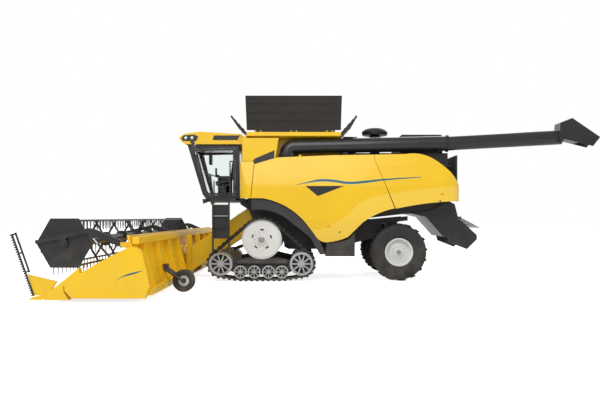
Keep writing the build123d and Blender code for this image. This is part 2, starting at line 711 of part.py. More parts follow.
def cover(hinge_point, width_dir, lean, width, length):
    """A ribbed sheet that stands on its hinge line and leans out, with its hinge knuckles."""
    run = Vector(*width_dir)
    out = Vector(*lean)
    plane = Plane(origin=hinge_point, x_dir=run, z_dir=run.cross(out))
    with BuildPart() as flap:
        with BuildSketch(plane):
            with Locations((0, (length + cover_knuckle_r) / 2)):
                Rectangle(width, length - cover_knuckle_r)
        extrude(amount=cover_sheet / 2, both=True)
        with BuildSketch(plane):
            for share in rib_shares:
                with Locations((0, length * share)):
                    Rectangle(width - 2 * rib_wide, rib_wide)
        extrude(amount=cover_sheet, both=True)
        for share in cover_hinge_shares:
            middle = Vector(*hinge_point) + run * ((share - 0.5) * width)
            knuckle_from, knuckle_to = middle - run * cover_knuckle_half, middle + run * cover_knuckle_half
            bar(tuple(knuckle_from), tuple(knuckle_to), cover_knuckle_r)
            leaf_plane = Plane(origin=middle, x_dir=run, z_dir=run.cross(out))
            with BuildSketch(leaf_plane):
                with Locations((0, cover_knuckle_r)):
                    Rectangle(2 * cover_knuckle_half, 2 * cover_knuckle_r)
            extrude(amount=cover_sheet / 2, both=True)
        for share in cover_hinge_shares:
            middle = Vector(*hinge_point) + run * ((share - 0.5) * width)
            bar(tuple(middle - run * 2 * cover_knuckle_half), tuple(middle + run * 2 * cover_knuckle_half),
                pin_r + pin_gap, mode=Mode.SUBTRACT)
    return flap.part


side_out = (0, math.sin(math.radians(side_lean)), math.cos(math.radians(side_lean)))
save_pair(cover((tank_mid, side_hinge_y, side_hinge_z), (1, 0, 0), side_out, tank_long, side_cover),
          "side_cover")
for name, x, way in (("front_cover", tank_front, 1), ("rear_cover", tank_rear, -1)):
    end_out = (way * math.sin(math.radians(end_lean)), 0, math.cos(math.radians(end_lean)))
    save(cover((x, 0, end_hinge_z), (0, 1, 0), end_out, 2 * end_half, end_cover), name)

# Fixed shields: the body's front corners beside the cab, and the columns in front of the tank
corner_share = [(1.064, 0.907, 0), (0.9885, 0.907, 0), (0.9885, 0.8855, 0), (1.0027, 0.494, 0),
                (1.064, 0.494, 0)]
shield_half, shield_inner, shield_sheet = 1500, 1150, 40
shield_low, shield_front, shield_back, column_top = 3165, 2690, 1722, 3808
with BuildPart() as front_shields:
    add(side_panel(spread(corner_share, panel_origin, panel_size), shield_inner))
    step = tank_front + gap
    slab(
        [
            (shield_front, shield_low), (shield_front, column_top), (step + shield_sheet / 2, end_rim - gap),
            (step, end_rim - gap), (step, column_top), (shield_back, column_top),
            (shield_back + 2 * shield_sheet, shield_low + 3 * shield_sheet),
            (shell_front - rear_corner_r + 3 * shield_sheet, shield_low),
        ],
        shield_half,
        shield_inner,
    )
    slab(
        [
            (shield_front - shield_sheet, shield_low - shield_sheet),
            (shield_front - shield_sheet, column_top - shield_sheet),
            (shield_back - shield_sheet, column_top - shield_sheet),
            (shield_back - shield_sheet, shield_low - shield_sheet),
        ],
        shield_half - shield_sheet,
        shield_inner - overrun,
        mode=Mode.SUBTRACT,
    )
    # feet that stand on the walkway and against its front end
    foot_in, foot_out = shield_inner + shield_sheet, walk_half - shield_sheet
    block((walk_front - 6 * shield_sheet, foot_in, walk_z + seat_gap),
          (shield_front - shield_sheet / 2, foot_out, shield_low + shield_sheet))
    block((walk_front + seat_gap, foot_in, walk_low), (shell_front - shell_skin / 2, foot_out, walk_z))
    mirror(about=Plane.XZ)
save(front_shields.part, "front_shields")

# Upper deck: engine housing, walkways beside the tank, intake duct and the unloading turret
turret_x, turret_y, turret_z = 1500, 1250, 3380
tube_r, outer_tube_r, flange_r, flange = 200, 190, 230, 22
deck_rear, deck_z, deck_sheet, deck_half = -2900, 3450, 50, 1000
duct_x, duct_y, duct_z, duct_r = -300, 560, 3800, 150
with BuildPart() as upper_deck:
    block((deck_rear, -deck_half, housing_top), (tank_rear, deck_half, deck_z))
    block((deck_rear + deck_sheet, -deck_half + deck_sheet, housing_top - overrun),
          (tank_rear - deck_sheet, deck_half - deck_sheet, deck_z - deck_sheet), mode=Mode.SUBTRACT)
    for side in (1, -1):
        block((deck_rear, side * deck_half, walk_low), (walk_front, side * walk_half, walk_z))
        for x in panel_hinges["main"] + panel_hinges["rear"]:
            for way in (1, -1):
                front_slab(
                    [
                        (side * (walk_half - hinge_ear), walk_low), (side * walk_half, walk_low),
                        (side * (hinge_y + pin_r), hinge_z - pin_r),
                        (side * (hinge_y + pin_r), hinge_z + pin_r),
                        (side * (hinge_y - pin_r), hinge_z + pin_r),
                        (side * (walk_half - hinge_ear), walk_z),
                    ],
                    x + way * (knuckle_half + overlap),
                    x + way * (knuckle_half + hinge_ear),
                )
            bar((x - knuckle_half - hinge_ear, side * hinge_y, hinge_z),
                (x + knuckle_half + hinge_ear, side * hinge_y, hinge_z), pin_r)
    bar((duct_x + duct_r + 3 * duct_r / 5, duct_y, duct_z), (duct_x - duct_r, duct_y, duct_z), duct_r)
    bar((duct_x, duct_y, deck_z - deck_sheet), (duct_x, duct_y, duct_z), duct_r * rim_share)
    bar((turret_x, turret_y, walk_z), (turret_x, turret_y, turret_z - seat_gap), tube_r)
    bar((turret_x, turret_y, turret_z - flange), (turret_x, turret_y, turret_z - seat_gap), flange_r)
    bar((turret_x, turret_y, turret_z), (turret_x, turret_y, walk_z + 2 * flange), tube_r - flange,
        mode=Mode.SUBTRACT)
save(upper_deck.part, "upper_deck")

# Engine as one plain block, cooling box with its slatted top, and the dust dome of the air intake
engine_rear, engine_front, engine_half, engine_top = -2000, -500, 420, 3380
with BuildPart() as engine_block:
    block((engine_rear, -engine_half, housing_top), (engine_front, engine_half, engine_top))
save(engine_block.part, "engine_block")

box_front, box_rear, box_left, box_right, box_top, box_edge = -1620, -2780, 880, -980, 3970, 40
slats, slat_gap, slat_deep = 9, 60, 18
with BuildPart() as radiator_box:
    slab(
        [
            (box_front, deck_z), (box_front, box_top - box_edge), (box_front - box_edge, box_top),
            (box_rear + box_edge, box_top), (box_rear, box_top - box_edge), (box_rear, deck_z),
        ],
        box_left,
        box_right,
    )
    slat_pitch = (box_front - box_rear) / (slats + 1)
    with Locations(*[(box_front - (i + 1) * slat_pitch, (box_left + box_right) / 2,
                      box_top) for i in range(slats)]):
        Box(slat_gap, box_left - box_right - 4 * box_edge, 2 * slat_deep, mode=Mode.SUBTRACT)
save(radiator_box.part, "radiator_box")

dome_x, dome_y, dome_r, dome_top, dome_low, neck_r = -950, 500, 365, 4190, 3950, 140
with BuildPart() as dust_dome:
    with BuildSketch(Plane(origin=(dome_x, dome_y, 0), x_dir=(1, 0, 0), z_dir=(0, -1, 0))):
        with BuildLine():
            Polyline((0, deck_z), (0, dome_top), (neck_r, dome_top))
            ThreePointArc((neck_r, dome_top), (dome_r * rim_share, dome_top - box_edge),
                          (dome_r, (dome_top + dome_low) / 2))
            Polyline((dome_r, (dome_top + dome_low) / 2), (dome_r - box_edge / 2, dome_low + box_edge),
                     (neck_r, dome_low), (neck_r, deck_z), (0, deck_z))
        make_face()
    revolve(axis=Axis((dome_x, dome_y, 0), (0, 0, 1)))
save(dust_dome.part, "dust_dome")

# Black wheel-arch mouldings over the tracks: the upper edge follows the panel's lower edge, and the
# lower edge clears the belts
arch_half, arch_inner, arch_sheet, arch_drop = 1640, 1330, 40, 14
arch_origin, arch_size = (480, 700), (1960, 1480)
arch_toe_share = [(0.061, 0.209, 0)]
arch_low_share = [(0, 0.01, 0), (0.0714, 0, 0), (0.209, 0.314, 0), (0.487, 0.608, 0), (0.656, 0.743, 1),
                  (1, 0.797, 0)]
arch_room_share = [(0.0816, 0.19, 0), (0.041, 0.027, 0), (0.0714, -0.04, 0), (1.03, -0.04, 0)]
panel_arch = spread([(1, 0.494, 0)] + wheel_arch_share[::-1] + [panel_foot_share[-1]], panel_origin,
                    panel_size)
arch_top = [(x, z - arch_drop, bend) for x, z, bend in panel_arch]
arch_under = [(x, z - arch_sheet, bend) for x, z, bend in arch_top]
arch_bar_x = arch_origin[0] + arch_size[0] - 3 * arch_sheet
arch_bar_z = arch_top[0][1] - arch_sheet / 2
with BuildPart() as track_arches:
    traced_slab(arch_top + spread(arch_toe_share + arch_low_share, arch_origin, arch_size), arch_half,
                arch_inner)
    traced_slab(
        [(arch_under[0][0] + overrun, arch_under[0][1], 0)] + arch_under[1:]
        + spread(arch_room_share, arch_origin, arch_size),
        arch_half - arch_sheet,
        arch_inner - overrun,
        mode=Mode.SUBTRACT,
    )
    bar((arch_bar_x, wing + bracket_wall, arch_bar_z), (arch_bar_x, arch_inner + pin_r, arch_bar_z),
        arch_sheet / 3)
    mirror(about=Plane.XZ)
save(track_arches.part, "track_arches")

# Lockers between the tracks and the rear wheels, hung on the cleaning shoe
locker_half, locker_origin, locker_size = 1560, (-310, 640), (790, 660)
locker_share = [(0.98, 0.015), (0.99, 0.12), (0.949, 0.576), (0.468, 0.621), (0.2025, 0.727), (0, 1),
                (0, 0.015)]
with BuildPart() as side_lockers:
    slab(spread(locker_share, locker_origin, locker_size), locker_half, shoe_half)
    add(main_frame.part, mode=Mode.SUBTRACT)
    mirror(about=Plane.XZ)
save(side_lockers.part, "side_lockers")

# Feeder house: a hollow sloping duct that hangs from its pivot and carries the header at its foot
feeder_origin, feeder_size = (2300, 190), (1960, 1960)
feeder_share = [(0, 1), (0, 0.633), (0.061, 0.592), (0.964, 0), (1, 0.036), (1, 0.3265), (0.954, 0.352)]
rib_share, rib_r = (0.3, 0.62, 0.88), 30
throat_low, throat_high, mouth_low, mouth_high = 1500, 2080, 260, 800
lift_eye_x, lift_eye_z, lift_eye_r, lug_reach, lug_nose = 3350, 676, 45, 160, 90
feeder_points = spread(feeder_share, feeder_origin, feeder_size)
feeder_head, feeder_brow, feeder_foot_x = feeder_points[0], feeder_points[-1], feeder_points[-2][0]
with BuildPart() as feeder_house:
    slab(feeder_points, feeder_half, -feeder_half)
    for share in rib_share:
        x = feeder_head[0] + share * (feeder_brow[0] - feeder_head[0])
        z = feeder_head[1] + share * (feeder_brow[1] - feeder_head[1])
        drum(x, z - rib_r / 2, -feeder_half, feeder_half, rib_r)
    cavity(feeder_points, feeder_sheet, feeder_half - feeder_sheet, feeder_sheet - feeder_half)
    inside = feeder_half - 2 * feeder_sheet
    block((feeder_head[0] - overrun, -inside, throat_low), (feeder_head[0] + overrun, inside, throat_high),
          mode=Mode.SUBTRACT)
    block((feeder_foot_x - overrun, -inside, mouth_low), (feeder_foot_x + overrun, inside, mouth_high),
          mode=Mode.SUBTRACT)
    for side in (1, -1):
        drum(pivot_x, pivot_z, side * feeder_half, side * (feeder_half + pivot_boss), pivot_r)
        drum(pivot_x, pivot_z, side * (feeder_half - 2 * feeder_sheet),
             side * (feeder_half + 2 * pivot_boss),
             pivot_r - 2 * pin_r + pin_gap, mode=Mode.SUBTRACT)
        for way in (1, -1):
            slab(
                [
                    (lift_eye_x - lug_reach, lift_eye_z + lug_reach + ear),
                    (lift_eye_x - lift_eye_r, lift_eye_z - lift_eye_r),
                    (lift_eye_x + lift_eye_r, lift_eye_z - lift_eye_r),
                    (lift_eye_x + lug_nose, lift_eye_z + ear),
                ],
                side * lift_y + way * lift_ear_in,
                side * lift_y + way * (lift_ear_in + ear),
            )
save(feeder_house.part, "feeder_house")

# Header frame: a back sheet on two beams with braces, the trough round the auger, and the floor
header_half, sheet_width = 6300, 170
header_inner = header_half - sheet_width
auger_x, auger_z, auger_r, auger_core_r = 4780, 480, 320, 205
trough_r, trough_low_turn, trough_turn = auger_r + 25, 35, 70
floor_z, floor_rise, floor_front, floor_nose = 70, 40, 6030, 30
back_foot, back_top, back_sheet = (4240, 130), (4550, 1330), 50
brace_foot, brace_top, brace_deep, brace_half = (4110, 200), (4370, 1200), 160, 40
brace_share = (-0.914, -0.7, -0.49, -0.28, 0.28, 0.49, 0.7, 0.914)
beams = [(4420, 1230, 70), (4160, 200, 65)]  # x, z, half size
mouth_rear, mouth_floor, mouth_top, mouth_post = 3900, 172, 900, 60
arm_pivot_x, arm_pivot_z, arm_pin_r = 4700, 1150, 26
arm_y, arm_thick = 6015, 70
ear_reach, ear_drop, ear_head, ear_sheet = 190, 110, 40, 16


def trough_point(turn):
    """A place on the trough, turned back from its lowest point."""
    return (auger_x - trough_r * math.sin(math.radians(turn)),
            auger_z - trough_r * math.cos(math.radians(turn)))


with BuildPart() as header_frame:
    slab([back_foot, (back_foot[0] + back_sheet, back_foot[1]), (back_top[0] + back_sheet, back_top[1]),
          back_top],
         header_inner, -header_inner)
    trough_back, trough_low = trough_point(trough_turn), trough_point(0)
    with BuildSketch(across(header_inner)):
        with BuildLine():
            Polyline(
                trough_back,
                (back_foot[0] + 2 * back_sheet, trough_back[1] + floor_nose / 2),
                back_foot,
                (back_foot[0] + 2 * back_sheet, floor_z),
                (floor_front, floor_z),
                (floor_front + floor_nose, floor_z + floor_rise / 2),
                (floor_front, floor_z + floor_rise),
                trough_low,
            )
            ThreePointArc(trough_low, trough_point(trough_low_turn), trough_back)
        make_face()
    extrude(amount=2 * header_inner)
    for x, z, half in beams:
        block((x - half, -header_inner, z - half), (x + half, header_inner, z + half))
    for share in brace_share:
        slab([brace_foot, (brace_foot[0] + brace_deep, brace_foot[1]),
              (brace_top[0] + brace_deep, brace_top[1]),
              brace_top], share * header_inner + brace_half, share * header_inner - brace_half)
    # mouth that the feeder house fills from behind
    mouth_half = feeder_half + seat_gap
    block((mouth_rear, -mouth_half, mouth_floor), (auger_x, mouth_half, mouth_top), mode=Mode.SUBTRACT)
    for side in (1, -1):
        block((brace_foot[0] + back_sheet, side * mouth_half, floor_z + back_sheet),
              (back_foot[0] + mouth_post, side * (mouth_half + mouth_post), brace_top[1]))
    # ears and pins that carry the reel's arms
    for y in (arm_y, 0, -arm_y):
        for way in (1, -1):
            slab(
                [
                    (arm_pivot_x - ear_reach, arm_pivot_z - ear_drop),
                    (arm_pivot_x - ear_reach, arm_pivot_z + ear_head),
                    (arm_pivot_x + ear_head, arm_pivot_z + ear_head),
                    (arm_pivot_x + ear_head, arm_pivot_z - ear_head),
                ],
                y + way * (arm_thick / 2 + gap),
                y + way * (arm_thick / 2 + gap + ear_sheet),
            )
        drum(arm_pivot_x, arm_pivot_z, y - arm_thick / 2 - gap, y + arm_thick / 2 + gap, arm_pin_r)
save(header_frame.part, "header_frame")

# End sheets and crop dividers. The shapes before the sheet are shares of the divider's reach.
sheet_origin, sheet_size = (4110, 90), (1673, 1002)
end_sheet_share = [(1, 0.16, 0), (0.9145, 0, 0), (0.054, 0, 0), (0, 0.26, 0), (0.075, 0.838, 0),
                   (0.14, 0.985, 1),
                   (0.257, 1, 0), (0.711, 0.6, 1), (1, 0.309, 0)]
divider_origin, divider_size = (5480, 50), (1062, 640)
divider_y, divider_in = header_half - sheet_width / 2, 5
cone_share = [(0.019, 1), (0, 0.797), (0.301, 0.4375), (0.301, 0.281), (0.207, 0.0156), (0.651, 0.156)]
blade_share = [(1, 0.798), (0.453, 0.58), (0.6026, 0.172), (0.867, 0.1375)]
toe_share = [(1, 0.0156), (0.904, 0.094), (0.631, 0.1875), (0.631, 0.07), (0.753, 0)]
skid_share = [(0.285, 0.109), (0.285, 0.0156), (0.659, 0.0156), (0.659, 0.156)]
auger_stub_r, stub_long, reel_lift_pin_r = 40, 45, 14
reel_lift_x, reel_lift_z, reel_barrel_r, reel_rod_r = 4930, 850, 24, 14
divider_parts = [
    # outline, outer side, inner side
    (cone_share, header_half, header_inner),
    (blade_share, divider_y - divider_in, header_inner + ear),
    (toe_share, divider_y - divider_in, header_inner + divider_in),
    (skid_share, header_half, header_inner),
]
with BuildPart() as end_sheets:
    traced_slab(spread(end_sheet_share, sheet_origin, sheet_size), header_half, header_inner)
    for share, outer_y, inner_y in divider_parts:
        slab(spread(share, divider_origin, divider_size), outer_y, inner_y)
    drum(auger_x, auger_z, header_inner - overrun, header_inner + stub_long + ear, auger_stub_r + pin_gap,
         mode=Mode.SUBTRACT)
    drum(reel_lift_x, reel_lift_z, arm_y - 2 * reel_barrel_r, header_inner + divider_in, reel_lift_pin_r)
    mirror(about=Plane.XZ)
save(end_sheets.part, "end_sheets")

# Upright side knives on the dividers: a toothed blade with its guard bar
knife_teeth, tooth_root, tooth_deep, tooth_side_share = 26, 32, 42, 0.1
knife_foot, knife_head, knife_sheet, knife_back = (6425, 130), (6860, 1359), 24, 30
guard_share, guard_from_share, guard_bar, guard_stand, guard_links = 0.64, 0.36, 34, 90, (0.38, 0.68, 0.98)
with BuildPart() as side_knives:
    lean = math.atan2(knife_head[1] - knife_foot[1], knife_head[0] - knife_foot[0])
    long = math.dist(knife_foot, knife_head)
    pitch = long / knife_teeth
    edge = [(0, knife_back)]
    for i in range(knife_teeth):
        edge += [((i + tooth_side_share) * pitch, knife_back - tooth_root),
                 ((i + 1 / 2) * pitch, knife_back - tooth_root - tooth_deep),
                 ((i + 1 - tooth_side_share) * pitch, knife_back - tooth_root)]
    edge += [(long, knife_back)]
    blade = Plane(
        origin=(knife_foot[0], divider_y - divider_in + knife_sheet, knife_foot[1]),
        x_dir=(math.cos(lean), 0, math.sin(lean)),
        z_dir=(0, -1, 0),
    )
    with BuildSketch(blade):
        Polygon(*edge, align=None)
        with Locations((long * (guard_from_share + guard_share / 2), guard_stand)):
            Rectangle(long * guard_share, guard_bar)
        for share in guard_links:
            with Locations((long * share, (guard_stand + ear) / 2)):
                Rectangle(knife_back, guard_stand)
    extrude(amount=knife_sheet)
    mirror(about=Plane.XZ)
save(side_knives.part, "side_knives")

# Cutter bar: one toothed bar along the floor's front edge
guard_pitch, guard_deep, guard_foot, guard_sheet, guard_side_share = 150, 95, 28, 18, 0.2
with BuildPart() as cutter_bar:
    half_long = header_inner - 2 * divider_in
    bar_back = floor_front + floor_nose + seat_gap
    count = int(2 * half_long / guard_pitch)
    pitch = 2 * half_long / count
    comb = [(bar_back, -half_long)]
    for i in range(count):
        y = -half_long + i * pitch
        comb += [(bar_back + guard_foot, y + pitch * guard_side_share),
                 (bar_back + guard_foot + guard_deep, y + pitch / 2),
                 (bar_back + guard_foot, y + pitch * (1 - guard_side_share))]
    comb += [(bar_back, half_long)]
    with BuildSketch(Plane.XY.offset(floor_z + (floor_rise - guard_sheet) / 2)):
        Polygon(*comb, align=None)
    extrude(amount=guard_sheet)
save(cutter_bar.part, "cutter_bar")

# Intake auger: a drum with screw flights that feed to the middle, and fingers between them. Each
# quarter turn of a flight is a flat sector, tilted to the screw's pitch.
flight_pitch, flight_sheet, flight_from, flight_turn = 560, 12, 820, 43
stub_clear = 15
auger_end = header_inner - stub_clear
fingers, finger_turn, finger_pitch, finger_r, finger_root = 12, 110, 120, 11, 150
with BuildPart() as flight_plate:
    with BuildSketch():
        rim_turns = [-flight_turn, -flight_turn / 3, flight_turn / 3, flight_turn]
        corners = [(auger_r * math.cos(math.radians(a)),
                    auger_r * math.sin(math.radians(a))) for a in rim_turns]
        root = auger_core_r * rim_share
        for a in (flight_turn, -flight_turn):
            corners.append((root * math.cos(math.radians(a)), root * math.sin(math.radians(a))))
        Polygon(*corners, align=None)
    extrude(amount=flight_sheet / 2, both=True)
with BuildPart() as intake_auger:
    drum(auger_x, auger_z, -auger_end, auger_end, auger_core_r)
    drum(auger_x, auger_z, -header_inner - stub_long, header_inner + stub_long, auger_stub_r)
    quarter = flight_pitch / 4
    tilt = math.degrees(math.atan2(quarter, (auger_r + auger_core_r) / 2 * math.pi / 2))
    places = []
    for side in (1, -1):
        for i in range(int((auger_end - flight_from) / quarter)):
            seat = Plane(origin=(auger_x, side * (flight_from + (i + 1 / 2) * quarter), auger_z),
                         x_dir=(1, 0, 0), z_dir=(0, -1, 0))
            places.append(seat.rotated((0, 0, i * 90)).rotated((-side * tilt, 0, 0)).location)
    with Locations(*places):
        add(flight_plate.part)
    for i in range(fingers):
        up = (math.cos(math.radians(i * finger_turn)), math.sin(math.radians(i * finger_turn)))
        y = (i - (fingers - 1) / 2) * finger_pitch
        bar((auger_x + finger_root * up[0], y, auger_z + finger_root * up[1]),
            (auger_x + auger_r * up[0], y, auger_z + auger_r * up[1]), finger_r)
save(intake_auger.part, "intake_auger")

# Reel: bats with tines on spider arms about one tube, with a plate at each end
reel_x, reel_z, reel_r, bat_r, bats = 5894, 1169, 574, 520, 6
reel_end, centre_gap, reel_core_r, reel_stub_r, reel_stub_long = 5960, 75, 100, 40, 110
bat_deep, bat_high, end_plate = 50, 36, 18
tine_long, tine_pitch, tine_foot, tine_tip, tine_sheet = 210, 240, 16, 6, 14
spiders, spider_hub_r, spider_arm, spider_sheet, spider_inset = 4, 170, 46, 16, 40
bat_places = []
for i in range(bats):
    angle = 2 * math.pi * i / bats
    bat_places.append((reel_x + bat_r * math.cos(angle), reel_z + bat_r * math.sin(angle)))


def tine_comb(side):
    """Front view of one bat's tines, from the bat's middle down."""
    long = reel_end - centre_gap
    count = int(long / tine_pitch)
    pitch = long / count
    points = [(side * (reel_end - end_plate), 0), (side * centre_gap, 0)]
    for i in range(count):
        y = centre_gap + (i + 1 / 2) * pitch
        points += [(side * (y - tine_foot), -bat_high / 2), (side * (y - tine_tip), -tine_long),
                   (side * (y + tine_tip), -tine_long), (side * (y + tine_foot), -bat_high / 2)]
    return points


with BuildPart() as reel:
    drum(reel_x, reel_z, -reel_end, reel_end, reel_core_r)
    drum(reel_x, reel_z, -reel_end - reel_stub_long, reel_end + reel_stub_long, reel_stub_r)
    span = (reel_end - centre_gap) / spiders
    spider_span = [centre_gap + spider_inset + i * span for i in range(spiders)]
    spider_places = spider_span + [-y for y in spider_span]
    with BuildSketch(*[across(y) for y in spider_places]):
        with Locations((reel_x, reel_z)):
            Circle(spider_hub_r)
            with PolarLocations(bat_r / 2, bats):
                Rectangle(bat_r, spider_arm)
    extrude(amount=spider_sheet / 2, both=True)
    with BuildSketch(*[across(side * (reel_end - end_plate / 2)) for side in (1, -1)]):
        with Locations((reel_x, reel_z)):
            RegularPolygon(reel_r, bats)
    extrude(amount=end_plate / 2, both=True)
    bat_long = reel_end - centre_gap - end_plate / 2
    with Locations(*[(x, side * (centre_gap + bat_long / 2), z) for x, z in bat_places for side in (1, -1)]):
        Box(bat_deep, bat_long, bat_high)
    tine_planes = []
    for x, z in bat_places:
        tine_planes.append(Plane(origin=(x - tine_sheet / 2, 0, z), x_dir=(0, 1, 0), z_dir=(1, 0, 0)))
    with BuildSketch(*tine_planes):
        for side in (1, -1):
            Polygon(*tine_comb(side), align=None)
    extrude(amount=tine_sheet)
save(reel.part, "reel")

# Reel arms: cranked beams on the header's ears, with a bearing at the reel's shaft
arm_origin, arm_size = (4650, 1085), (1810, 390)
arm_share = [(0, 0.077), (0.0387, 0), (0.359, 0.6026), (0.425, 0.731), (0.6575, 0.487), (0.6575, 0.051),
             (0.718, 0.051), (0.718, 0.423), (0.9945, 0.192), (1, 0.359), (0.414, 1), (0.337, 0.936),
             (0.0276, 0.3205), (0, 0.269)]
bearing_wall = 45
reel_eye_x, reel_eye_z, reel_lug, reel_lug_rise, reel_lug_in, reel_lug_sheet = 5330, 1295, 30, 85, 22, 12
with BuildPart() as reel_arms:
    for y, shaft in ((arm_y, reel_stub_r), (0, reel_core_r), (-arm_y, reel_stub_r)):
        slab(spread(arm_share, arm_origin, arm_size), y + arm_thick / 2, y - arm_thick / 2)
        drum(reel_x, reel_z, y - arm_thick / 2, y + arm_thick / 2, shaft + bearing_wall)
        drum(reel_x, reel_z, y - arm_thick, y + arm_thick, shaft + pin_gap, mode=Mode.SUBTRACT)
        drum(arm_pivot_x, arm_pivot_z, y - arm_thick, y + arm_thick, arm_pin_r + pin_gap, mode=Mode.SUBTRACT)
    for side in (1, -1):
        for way in (1, -1):
            slab(
                [
                    (reel_eye_x - reel_lug_rise, reel_eye_z + reel_lug),
                    (reel_eye_x - reel_lug, reel_eye_z - reel_lug),
                    (reel_eye_x + reel_lug, reel_eye_z - reel_lug),
                    (reel_eye_x + reel_lug_rise, reel_eye_z + reel_lug_rise),
                ],
                side * arm_y + way * reel_lug_in,
                side * arm_y + way * (reel_lug_in + reel_lug_sheet),
            )
save(reel_arms.part, "reel_arms")


def cylinder_pair(name, base, eye, y, barrel_r, rod_r, base_pin_r, barrel_share, stroke_in):
    """Barrels and rods of two like cylinders, left and right. stroke_in is how far the rod can draw in."""
    start, end = Vector(base[0], y, base[1]), Vector(eye[0], y, eye[1])
    along = (end - start).normalized()
    bore_from = start + along * (2 * barrel_r)
    with BuildPart() as barrels:
        bar(tuple(start), tuple(start + (end - start) * barrel_share), barrel_r)
        bar(tuple(bore_from), tuple(end), rod_r + pin_gap, mode=Mode.SUBTRACT)
        drum(base[0], base[1], y - barrel_r, y + barrel_r, barrel_r + pin_gap)
        drum(base[0], base[1], y - 2 * barrel_r, y + 2 * barrel_r, base_pin_r + pin_gap, mode=Mode.SUBTRACT)
        mirror(about=Plane.XZ)
    save(barrels.part, f"{name}_barrels")
    with BuildPart() as rods:
        bar(tuple(bore_from + along * (stroke_in + gap)), tuple(end), rod_r)
        drum(eye[0], eye[1], y - rod_r, y + rod_r, rod_r * eye_share)
        mirror(about=Plane.XZ)
    save(rods.part, f"{name}_rods")


# Lift cylinders. The reel's cylinders draw in as the reel goes down.
eye_share, lift_rod_r, lift_barrel_share, reel_barrel_share, reel_draw_in = 1.5, 28, 0.62, 0.7, 65
cylinder_pair("header_lift", (lift_base_x, lift_base_z), (lift_eye_x, lift_eye_z), lift_y, lift_barrel_r,
              lift_rod_r, lift_pin_r, lift_barrel_share, 0)
cylinder_pair("reel_lift", (reel_lift_x, reel_lift_z), (reel_eye_x, reel_eye_z), arm_y, reel_barrel_r,
              reel_rod_r, reel_lift_pin_r, reel_barrel_share, reel_draw_in)

# Gauge wheels behind the header, each between two arms
gauge_x, gauge_z, gauge_y, gauge_r, gauge_half = 3770, 262, 4300, 250, 90
gauge_arm_y, gauge_arm_r, gauge_pin_r, gauge_root_x, gauge_root_z = 135, 32, 22, 4200, 560
seat_half, seat_low, seat_high, seat_rear = 170, 480, 640, 4140
brace_slope = (brace_top[0] - brace_foot[0]) / (brace_top[1] - brace_foot[1])
with BuildPart() as gauge_arms:
    for side in (1, -1):
        for way in (1, -1):
            bar((gauge_root_x, side * (gauge_y + way * gauge_arm_y), gauge_root_z),
                (gauge_x, side * (gauge_y + way * gauge_arm_y), gauge_z), gauge_arm_r)
        drum(gauge_x, gauge_z, side * gauge_y - gauge_arm_y, side * gauge_y + gauge_arm_y, gauge_pin_r)
        slab(
            [
                (seat_rear, seat_low), (brace_foot[0] + brace_slope * (seat_low - brace_foot[1]) - seat_gap,
                                        seat_low),
                (brace_foot[0] + brace_slope * (seat_high - brace_foot[1]) - seat_gap, seat_high),
                (seat_rear, seat_high),
            ],
            side * gauge_y + seat_half,
            side * gauge_y - seat_half,
        )
    add(header_frame.part, mode=Mode.SUBTRACT)
save(gauge_arms.part, "gauge_arms")

gauge_rim_r, gauge_web_r, gauge_hub_r, gauge_web, gauge_round = 150, 60, 50, 15, 25
with BuildPart() as gauge_wheel:
    with BuildSketch(Plane(origin=(gauge_x, gauge_y, gauge_z), x_dir=(0, 1, 0), z_dir=(1, 0, 0))):
        with BuildLine():
            FilletPolyline(
                (-gauge_half + ear, gauge_rim_r),
                (-gauge_half, gauge_rim_r + gauge_round),
                (-gauge_half, gauge_r - gauge_round),
                (-gauge_half + gauge_round, gauge_r),
                (gauge_half - gauge_round, gauge_r),
                (gauge_half, gauge_r - gauge_round),
                (gauge_half, gauge_rim_r + gauge_round),
                (gauge_half - ear, gauge_rim_r),
                radius=[0] + [gauge_round / 2] * 6 + [0],
                close=True,
            )
        make_face()
        Polygon(
            (-gauge_half + ear, gauge_rim_r + ear / 2), (-gauge_half + ear, gauge_rim_r - ear),
            (-gauge_web, gauge_rim_r - ear), (-gauge_web, gauge_web_r), (-gauge_web_r, gauge_hub_r),
            (-gauge_web_r, gauge_pin_r + pin_gap), (gauge_web_r, gauge_pin_r + pin_gap),
            (gauge_web_r, gauge_hub_r),
            (gauge_web, gauge_web_r), (gauge_web, gauge_rim_r - ear), (gauge_half - ear, gauge_rim_r - ear),
            (gauge_half - ear, gauge_rim_r + ear / 2), align=None,
        )
    revolve(axis=Axis((gauge_x, gauge_y, gauge_z), (0, 1, 0)))
save_pair(gauge_wheel.part, "gauge_wheel")

